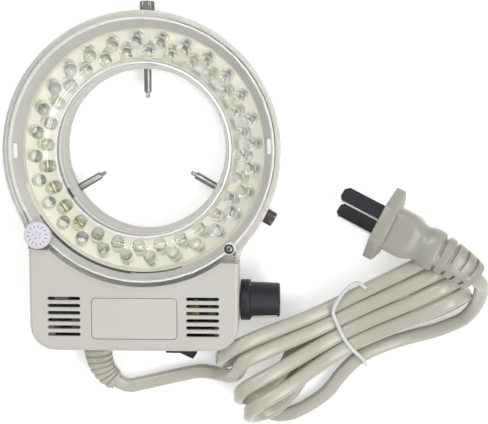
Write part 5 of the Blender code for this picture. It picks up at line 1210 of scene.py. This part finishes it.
# Section of a thin sheet over the sloping wall that paints the wall's shade
WALL_SHADE_SHEET = (
    (45.66, 20.3), (45.9, 20.5), (48.35, 26.3), (49.0, 27.7), (48.85, 27.85), (48.15, 26.35), (45.6, 20.6),
)
WALL_FOOT_R = 45.6 * MM
WALL_FOOT_Z = 20.6 * MM
WALL_RUN = 2.55 * MM
WALL_RISE = 5.75 * MM
HOUSING_LIP = ((51.28, 21.9), (52.5, 21.9), (52.6, 29.0), (52.4, 29.25), (51.5, 29.2), (51.28, 29.0))
LIP_ARC = (226.5, 305.5)
BAFFLE_IN_R = 49.85
BAFFLE_Z = (21.0, 22.15)
BAFFLES = (
    ("baffle_left", 51.9, 212.0, 219.0),
    ("baffle", 53.4, 219.0, 310.5),
    ("baffle_right", 51.9, 310.5, 320.0),
)
# Black strips on the sloping wall at the carrier's edge: painted shadow in the gap
SHADOW_GAPS = (("rim_seam_wide", 1.5, 222.0, 264.0), ("rim_seam_thin", 0.7, 212.0, 288.0))
BLOCK_BOX = ((46.9, -2.9, 21.6), (49.4, 2.9, 26.9))
BLOCK_ANGLES = (2.0, 180.0)


def sloped_strip(low, wide, thick):
    """Return the section of a strip on the sloping wall's shade sheet, from a radius up along its slope."""
    share = (low - WALL_FOOT_R) / WALL_RUN
    start = Vector((low, between(WALL_FOOT_Z, WALL_FOOT_Z + WALL_RISE, share)))
    up = Vector((WALL_RUN, WALL_RISE)).normalized()
    out = Vector((-up.y, up.x))
    sunk = out * 0.05 * MM
    return [start - sunk, start + up * wide - sunk, start + up * wide + out * thick, start + out * thick]


def make_wall_shade_sheet():
    """Make a thin sheet over the ring's sloping wall, from the carrier to under the cover's edge, in a darker
    copy of the housing colour: painted shade.
    """
    settle_on_axis(ring_shell("wall_lining", mm(*WALL_SHADE_SHEET)), "wall_shade", slot="housing")


def make_lower_arc():
    """Make what shows under the cover's lower edge: the housing's lip, the carrier's rim, and black strips of
    painted shadow in the gap at the carrier's edge.
    """
    settle_on_axis(arc_strip("housing_lip", mm(*HOUSING_LIP), *LIP_ARC), "housing")
    low, high = BAFFLE_Z
    for name, outer, start, end in BAFFLES:
        section = mm((BAFFLE_IN_R, low), (outer, low), (outer, high), (BAFFLE_IN_R, high))
        # The baffles wear the darker copy of the housing colour: painted shade
        settle_on_axis(arc_strip(name, section, start, end), "wall_shade", slot="housing")
    edge = sloped_strip(45.5 * MM, 0.6 * MM, 0.1 * MM)
    settle_on_axis(ring_shell("carrier_edge", edge), "carrier")
    rim = sloped_strip(WALL_FOOT_R, 2.1 * MM, 0.12 * MM)
    settle_on_axis(arc_strip("carrier_rim", rim, 196.0, 346.0), "carrier")
    # Black strips: painted shadow
    for name, wide, start, end in SHADOW_GAPS:
        shadow_gap = sloped_strip(46.45 * MM, wide * MM, 0.2 * MM)
        settle_on_axis(arc_strip(name, shadow_gap, start, end), "black_screw")


def make_wall_blocks():
    """Make the two small blocks on the ring's sloping wall, under the cover."""
    blocks = []
    for degrees in BLOCK_ANGLES:
        block = bevelled(box_mesh("block", *mm(*BLOCK_BOX)), 0.3 * MM, 2)
        blocks.append(turned_about_z(block, degrees))
    settle_on_axis(joined("wall_blocks", blocks), "housing")


# Lamps, with profiles of (radius, height) in millimetres

CUP_PROFILE = ((0.35, 0.3), (0.35, 1.4), (0.85, 2.2), (0.95, 2.95), (0.7, 2.9), (0.5, 2.5))
CUP_X = -0.3 * MM
POST_BOX = ((0.95, -0.25, 0.3), (1.3, 0.25, 2.6))
FLAG_BOX = ((0.8, -0.65, 2.1), (1.3, 0.65, 2.6))
PHOSPHOR_PROFILE = ((0.42, 2.3), (0.46, 2.6), (0.3, 2.8), (0.1, 2.85))
DOME_STEPS = 8


def make_lamp_piece(radius, length):
    """Make one clear lamp: a foot flange, a straight body and a domed end."""
    shoulder = length - radius
    flange = radius * 1.06
    stations = [(radius * 0.98, 0.0), (flange, 0.08 * MM), (flange, 0.9 * MM), (radius, 1.0 * MM)]
    stations += [(radius, shoulder * 0.6), (radius, shoulder)]
    for i in range(1, DOME_STEPS):
        turn = QUARTER * i / DOME_STEPS
        stations.append((radius * math.cos(turn), shoulder + radius * math.sin(turn)))
    return turned("lamp", stations + [(radius * 0.04, length)], 28, 50.0)


def in_cup(item):
    """Move a piece to the middle of a lamp's cup."""
    return moved(item, Matrix.Translation((CUP_X, 0.0, 0.0)))


def make_lamp_frame():
    """Make a lamp's lead frame: an anvil with its cup, and a post with its flag."""
    anvil = in_cup(turned("anvil", mm(*CUP_PROFILE), 16))
    post, flag = (box_mesh("post", *mm(*box)) for box in (POST_BOX, FLAG_BOX))
    return joined("lead_frame", [anvil, post, flag])


def make_lamps(values):
    """Make both rows of lamps with their lead frames and phosphor."""
    half_step = TURN / values.count / 2
    outer = ("outer", values.outer_row, values.first, "pale_phosphor")
    inner = ("inner", values.inner_row, values.first + half_step, "phosphor")
    for row, radius, first, glow in (outer, inner):
        height = CARRIER_Z - (CARRIER_R - radius) * math.tan(values.lean) + LAMP_LIFT
        place = (values.count, radius, height, values.lean, first)
        piece = make_lamp_piece(values.radius, values.length)
        lamps = ring_of_copies("lamps_" + row, piece, "lamp_epoxy", *place)
        lamps.data.shade_smooth()
        settle_on_axis(lamps, "lamp_epoxy", "lamp_row_" + row)
        leads = ring_of_copies("lead_frames_" + row, make_lamp_frame(), "bright_steel", *place)
        settle_on_axis(leads, "bright_steel")
        dot = in_cup(turned("dot", mm(*PHOSPHOR_PROFILE), 16))
        settle_on_axis(ring_of_copies("phosphor_" + row, dot, glow, *place), glow, slot="lamp_epoxy")


# Screws, with profiles of (radius, height) in millimetres, a thumbscrew's from the ring's axis

# A black ring round a cover screw's head: painted shadow in its hole
HOLE_SHADOW_PROFILE = ((1.5, 28.5), (1.78, 28.5), (1.78, 29.5), (1.62, 29.5))
NOSE_PROFILE = ((0.6, 19.1), (0.85, 19.3), (0.85, 20.7), (0.75, 20.9), (0.6, 20.9), (0.6, 23.5))
PIN_PROFILE = (
    (0.75, 23.8), (0.75, 21.25), (1.0, 21.2), (1.32, 21.3), (1.5, 21.7),
    (1.5, 32.0), (1.5, 45.0), (1.5, 55.1),
)
HEAD_PROFILE = ((1.9, 52.0), (2.45, 52.0), (2.62, 52.3), (2.62, 56.0), (2.3, 56.4), (1.4, 56.4), (1.2, 56.2))
RIDGE_PROFILE = ((0.1, 52.15), (0.27, 52.5), (0.27, 55.9), (0.1, 56.25))
KNURL_R = 2.6 * MM
SHANK_R = 1.0 * MM
SHANK_L = 4.0 * MM
CROSS_ANGLES = (20.0, 110.0)


def cross_head(name, radius, height, top, place, finish, slot, node, upside_down=False):
    """Make a screw with a domed head and a cross recess; one seen from behind is upside down."""
    stations = [(SHANK_R, -height - SHANK_L), (SHANK_R, -height), (radius * 0.94, -height)]
    stations += [(radius, -height * 0.9), (radius, -height * 0.4), (radius * 0.86, -height * 0.12)]
    screw = turned(name, stations + [(radius * 0.5, 0.0)], 32)
    half_length, half_width = radius * 0.62, radius * 0.13
    for degrees in CROSS_ANGLES:
        low, high = (-half_length, -half_width, -height * 0.75), (half_length, half_width, height)
        cut(screw, turned_about_z(box_mesh("slit", low, high), degrees))
    turn = Matrix.Rotation(math.pi, 4, "X") if upside_down else Matrix.Identity(4)
    moved(screw, Matrix.Translation((place[0], place[1], top)) @ turn)
    settle_on_axis(screw, finish, node, slot=slot)


def make_screws():
    """Make the cover screws, a black ring of painted shadow in each of their holes, and the case screws
    behind.
    """
    for side, place in (("right", SCREW_RIGHT), ("left", SCREW_LEFT)):
        # Painted shadow in the screw hole
        hole_shadow = moved(turned("screw_well_" + side, mm(*HOLE_SHADOW_PROFILE), 40), Matrix.Translation(place))
        settle_on_axis(hole_shadow, "black_screw")
        head = ("cover_screw_head_" + side, 1.3 * MM, 1.1 * MM, 29.7 * MM, place)
        cross_head(*head, "grey_steel", "black_screw", "cover_screw_" + side)
    for side, place in CASE_SCREWS.items():
        head = ("case_screw_head_" + side, 1.8 * MM, 1.4 * MM, 0.4 * MM, place)
        cross_head(*head, "bright_steel", "bright_steel", "case_screw_" + side, upside_down=True)


def make_thumbscrews(values):
    """Make each thumbscrew: tip, pin and knurled head."""
    for side, degrees in THUMB_ANGLES.items():
        turn = towards(around(1.0, math.radians(degrees), 0.0), (0.0, 0.0, THUMB_Z))
        tip_body, screw_body = "tip_" + side, "screw_" + side
        nose = moved(turned("thumb_nose_" + side, mm(*NOSE_PROFILE), 24), turn)
        settle_on_axis(nose, "bright_steel", "thumb_tip_" + side, body=tip_body)
        pin = moved(turned("thumb_shaft_" + side, mm(*PIN_PROFILE), 32), turn)
        settle_on_axis(pin, "grey_steel", "thumb_pin_" + side, body=screw_body, slot="bright_steel")
        core = turned("core", mm(*HEAD_PROFILE))
        ridge = turned("ridge", mm(*RIDGE_PROFILE), 6)
        finish = "grey_steel" if side == "top" else "dark_steel"
        ridges = ring_of_copies("ridges", ridge, finish, values.knurls, KNURL_R, 0.0, 0.0, 0.0)
        head = moved(joined("thumb_grip_" + side, [core, ridges]), turn)
        settle_on_axis(head, finish, "thumb_head_" + side, body=screw_body, slot="dark_steel")


# Knob and seal

KNOB_SKIRT = (
    (5.9, 2.9), (5.9, 0.1), (6.1, 0.0), (7.6, 0.0), (7.85, 0.15),
    (7.9, 0.4), (7.9, 3.3), (7.8, 3.6), (7.5, 3.8),
)
KNOB_FOOT = ((0.2, 3.9), (0.05, 4.0), (0.0, 4.3))
KNOB_TAPER = 0.3 * MM
KNOB_ROUND = 0.8 * MM
KNOB_DISH = ((-1.6, -0.05), (-2.2, -0.35))
# Place and half width of a pale strip along the grip: painted reflection
REFLECTION_ANGLE = 155.0
REFLECTION_HALF = 1.0 * MM
SEAL_PROFILE = ((5.1, 0.0), (5.2, 0.05), (5.2, 0.2), (5.1, 0.25))
SEAL_Z = TOP_Z + 0.3 * MM
SEAL_T = 0.25 * MM
MARK_RINGS = ((14, 3.4, 0.55, 0.1), (5, 1.3, 0.4, 0.5))
MARK_HALF = 0.14
MARK_T = 0.03


def make_knob(values):
    """Make the dimmer knob with its skirt and grip, and a pale strip along the grip: a painted reflection."""
    start, end, grip = GAP, GAP + values.knob_length, values.knob_radius
    narrow = grip - KNOB_TAPER
    stations = [(r, start + z) for r, z in mm(*KNOB_SKIRT)]
    stations += [(grip + r, start + z) for r, z in mm(*KNOB_FOOT)]
    stations += [(narrow - inset, end - drop) for inset, drop in quarter_round(KNOB_ROUND)]
    stations += [(grip + r, end + z) for r, z in mm(*KNOB_DISH)] + [(0.3 * MM, end - 0.4 * MM)]
    turn = towards((1.0, 0.0, 0.0), DIMMER)
    knob = moved(turned("knob", stations, 96, 40.0), turn)
    settle_on_axis(knob, "black_plastic", "dimmer_knob", body="dimmer")
    loops = []
    for z, taper in ((start + 4.6 * MM, 0.0), (end - 1.0 * MM, KNOB_TAPER)):
        top = grip - taper + 0.12 * MM
        low = top - 0.5 * MM
        corners = ((low, -REFLECTION_HALF), (top, -REFLECTION_HALF), (top, REFLECTION_HALF), (low, REFLECTION_HALF))
        loops.append([Vector((x, y, z)) for x, y in corners])
    line = turned_about_z(bevelled(loft("pointer_line", loops), 0.12 * MM, 2), REFLECTION_ANGLE)
    settle_on_axis(moved(line, turn), "pale_plastic", "knob_pointer", body="dimmer")


def make_seal():
    """Make the round seal: its paper and a generic ring of tick marks."""
    paper = turned("seal_disc", [(r, SEAL_Z + z) for r, z in mm(*SEAL_PROFILE)], 64)
    moved(paper, Matrix.Translation(SCREW_LEFT))
    settle_on_axis(paper, "seal_paper", "seal_sticker")
    rings = []
    for count, radius, half, first in MARK_RINGS:
        mark = box_mesh("mark", *mm((-half, -MARK_HALF, 0.0), (half, MARK_HALF, MARK_T)))
        place = (count, radius * MM, SEAL_Z + SEAL_T, 0.0, first)
        rings.append(ring_of_copies("marks", mark, "seal_ink", *place))
    ink = moved(joined("seal_marks", rings), Matrix.Translation(SCREW_LEFT))
    settle_on_axis(ink, "seal_ink", slot="seal_paper")


# Stage

FLOOR_HALF = 3.0
FLOOR_DROP = 0.2 * MM
LIGHT_TARGET = Vector((0.03, -0.02, 0.01))
CAMERA_PLACE = (0.06869, 0.04586, 0.57079)
CAMERA_TURN = (-5.936207, 3.187412, -0.114155)


def floor_material():
    """Make the pale floor: white to the camera and to mirrors, and it keeps the shadow."""
    material, tree, shader = material_start("floor_sheet")
    group = moulded(tree, 6.0, 900.0)
    base = mixed_colour(tree, group["Mottle"], (0.90, 0.90, 0.90), (0.93, 0.93, 0.93))
    path = tree.nodes.new("ShaderNodeLightPath").outputs
    seen = maths(tree, "MAXIMUM", path["Is Camera Ray"], path["Is Glossy Ray"])
    seen = maths(tree, "MAXIMUM", seen, path["Is Transmission Ray"])
    glow = range_node(tree, seen, 0.0, 1.0, 0.0, 0.42)
    inputs = {"Base Color": base, "Roughness": 0.9, "Emission Color": WHITE, "Emission Strength": glow}
    set_inputs(shader, inputs)
    return material


def white_world(strength):
    """Light the room evenly, and show it white to the camera and through glass."""
    world = bpy.data.worlds.new("studio")
    world.use_nodes = True
    tree = world.node_tree
    path = tree.nodes.new("ShaderNodeLightPath").outputs
    seen = maths(tree, "MAXIMUM", path["Is Camera Ray"], path["Is Transmission Ray"])
    inputs = {"Color": WHITE, "Strength": range_node(tree, seen, 0.0, 1.0, strength, 1.0)}
    set_inputs(tree.nodes["Background"], inputs)
    bpy.context.scene.world = world


def add_area(name, place, sides, power):
    """Add one soft light, long by wide, that faces the lamp."""
    light = bpy.data.lights.new(name, "AREA")
    light.shape = "RECTANGLE"
    light.size, light.size_y = sides
    light.energy = power
    item = new_object(name, light)
    item.location = place
    item.rotation_euler = (LIGHT_TARGET - Vector(place)).to_track_quat("-Z", "Y").to_euler()


def make_stage(values):
    """Make the floor, the lights and the camera."""
    if values.shown:
        bm = bmesh.new()
        bmesh.ops.create_grid(bm, x_segments=2, y_segments=2, size=FLOOR_HALF)
        floor = from_bmesh("floor", bm)
        moved(floor, Matrix.Translation((0.0, 0.0, CAD_BOX[0].z - FLOOR_DROP)))
        floor.data.materials.append(floor_material())
    white_world(values.world)
    add_area("key_light", (-0.17, 0.40, 0.85), (0.5, 0.09), values.key)
    add_area("rim_light", (0.42, -0.42, 0.70), (0.5, 0.05), values.rim)
    add_area("fill_light", (0.55, -0.20, 0.90), (0.5, 0.5), values.fill)
    camera = bpy.data.cameras.new("camera")
    camera.sensor_width = 36.0
    camera.lens = values.lens
    camera.clip_start = 0.01
    item = new_object("camera", camera)
    item.location = CAMERA_PLACE
    item.rotation_euler = [math.radians(a) for a in CAMERA_TURN]
    bpy.context.scene.camera = item
    bpy.context.scene.view_settings.view_transform = "Standard"


# Operators


class RINGLIGHT_OT_stage(bpy.types.Operator):
    """Make the floor, the soft lights and the camera"""

    bl_idname = "ring_light.stage"
    bl_label = "Stage"

    def execute(self, context):
        make_stage(context.scene.ring_light_stage)
        return {"FINISHED"}


class RINGLIGHT_OT_finishes(bpy.types.Operator):
    """Make the finishes and give each solid its own"""

    bl_idname = "ring_light.finishes"
    bl_label = "Finishes"

    def execute(self, context):
        make_finishes(context.scene.ring_light_colours)
        dress_solids()
        return {"FINISHED"}


class RINGLIGHT_OT_cord(bpy.types.Operator):
    """Make the flat cord with its strain relief, tie and plug"""

    bl_idname = "ring_light.cord"
    bl_label = "Cord and Plug"

    def execute(self, context):
        make_cord(context.scene.ring_light_cord)
        return {"FINISHED"}


class RINGLIGHT_OT_lamps(bpy.types.Operator):
    """Make the two rows of clear lamps"""

    bl_idname = "ring_light.lamps"
    bl_label = "Lamps"

    def execute(self, context):
        make_lamps(context.scene.ring_light_lamps)
        return {"FINISHED"}


class RINGLIGHT_OT_cover(bpy.types.Operator):
    """Make the clear cover and what lies under it"""

    bl_idname = "ring_light.cover"
    bl_label = "Clear Cover"

    def execute(self, context):
        make_cover(context.scene.ring_light_trim)
        make_wall_blocks()
        make_wall_shade_sheet()
        make_lower_arc()
        return {"FINISHED"}


class RINGLIGHT_OT_screws(bpy.types.Operator):
    """Make the cover and case screws and the thumbscrews"""

    bl_idname = "ring_light.screws"
    bl_label = "Screws"

    def execute(self, context):
        make_screws()
        make_thumbscrews(context.scene.ring_light_trim)
        return {"FINISHED"}


class RINGLIGHT_OT_knob(bpy.types.Operator):
    """Make the dimmer knob and the pale strip of painted reflection along it"""

    bl_idname = "ring_light.knob"
    bl_label = "Dimmer Knob"

    def execute(self, context):
        make_knob(context.scene.ring_light_trim)
        return {"FINISHED"}


class RINGLIGHT_OT_seal(bpy.types.Operator):
    """Make the round seal over the left cover screw"""

    bl_idname = "ring_light.seal"
    bl_label = "Seal"

    def execute(self, context):
        make_seal()
        return {"FINISHED"}


class RINGLIGHT_OT_wires(bpy.types.Operator):
    """Make the wires inside the box"""

    bl_idname = "ring_light.wires"
    bl_label = "Inner Wires"

    def execute(self, context):
        make_inner_wires()
        return {"FINISHED"}


class RINGLIGHT_PT_sidebar(bpy.types.Panel):
    """Lists the ring light's pieces and their values"""

    bl_label = "Ring Light"
    bl_idname = "RINGLIGHT_PT_sidebar"
    bl_space_type = "VIEW_3D"
    bl_region_type = "UI"
    bl_category = "Ring Light"

    def draw(self, context):
        layout = self.layout
        for operator in OPERATORS:
            layout.operator(operator.bl_idname)
        for name in GROUPS:
            box = layout.box()
            values = getattr(context.scene, name)
            for label in values.bl_rna.properties.keys():
                if label not in {"rna_type", "name"}:
                    box.prop(values, label)


OPERATORS = (
    RINGLIGHT_OT_stage,
    RINGLIGHT_OT_finishes,
    RINGLIGHT_OT_cord,
    RINGLIGHT_OT_lamps,
    RINGLIGHT_OT_cover,
    RINGLIGHT_OT_screws,
    RINGLIGHT_OT_knob,
    RINGLIGHT_OT_seal,
    RINGLIGHT_OT_wires,
)
GROUPS = {
    "ring_light_colours": RingLightColours,
    "ring_light_lamps": RingLightLamps,
    "ring_light_trim": RingLightTrim,
    "ring_light_cord": RingLightCord,
    "ring_light_stage": RingLightStage,
}


def register():
    """Add the classes and the scene's values."""
    for group in GROUPS.values():
        bpy.utils.register_class(group)
    for operator in OPERATORS:
        bpy.utils.register_class(operator)
    bpy.utils.register_class(RINGLIGHT_PT_sidebar)
    for name, group in GROUPS.items():
        setattr(bpy.types.Scene, name, PointerProperty(type=group))


def unregister():
    """Remove the classes and the scene's values."""
    for name in GROUPS:
        delattr(bpy.types.Scene, name)
    bpy.utils.unregister_class(RINGLIGHT_PT_sidebar)
    for operator in reversed(OPERATORS):
        bpy.utils.unregister_class(operator)
    for group in reversed(list(GROUPS.values())):
        bpy.utils.unregister_class(group)


def main():
    """Register, and make every piece in order."""
    register()
    bpy.ops.ring_light.stage()
    bpy.ops.ring_light.finishes()
    bpy.ops.ring_light.cord()
    bpy.ops.ring_light.lamps()
    bpy.ops.ring_light.cover()
    bpy.ops.ring_light.screws()
    bpy.ops.ring_light.knob()
    bpy.ops.ring_light.seal()
    bpy.ops.ring_light.wires()


if __name__ == "__main__":
    main()
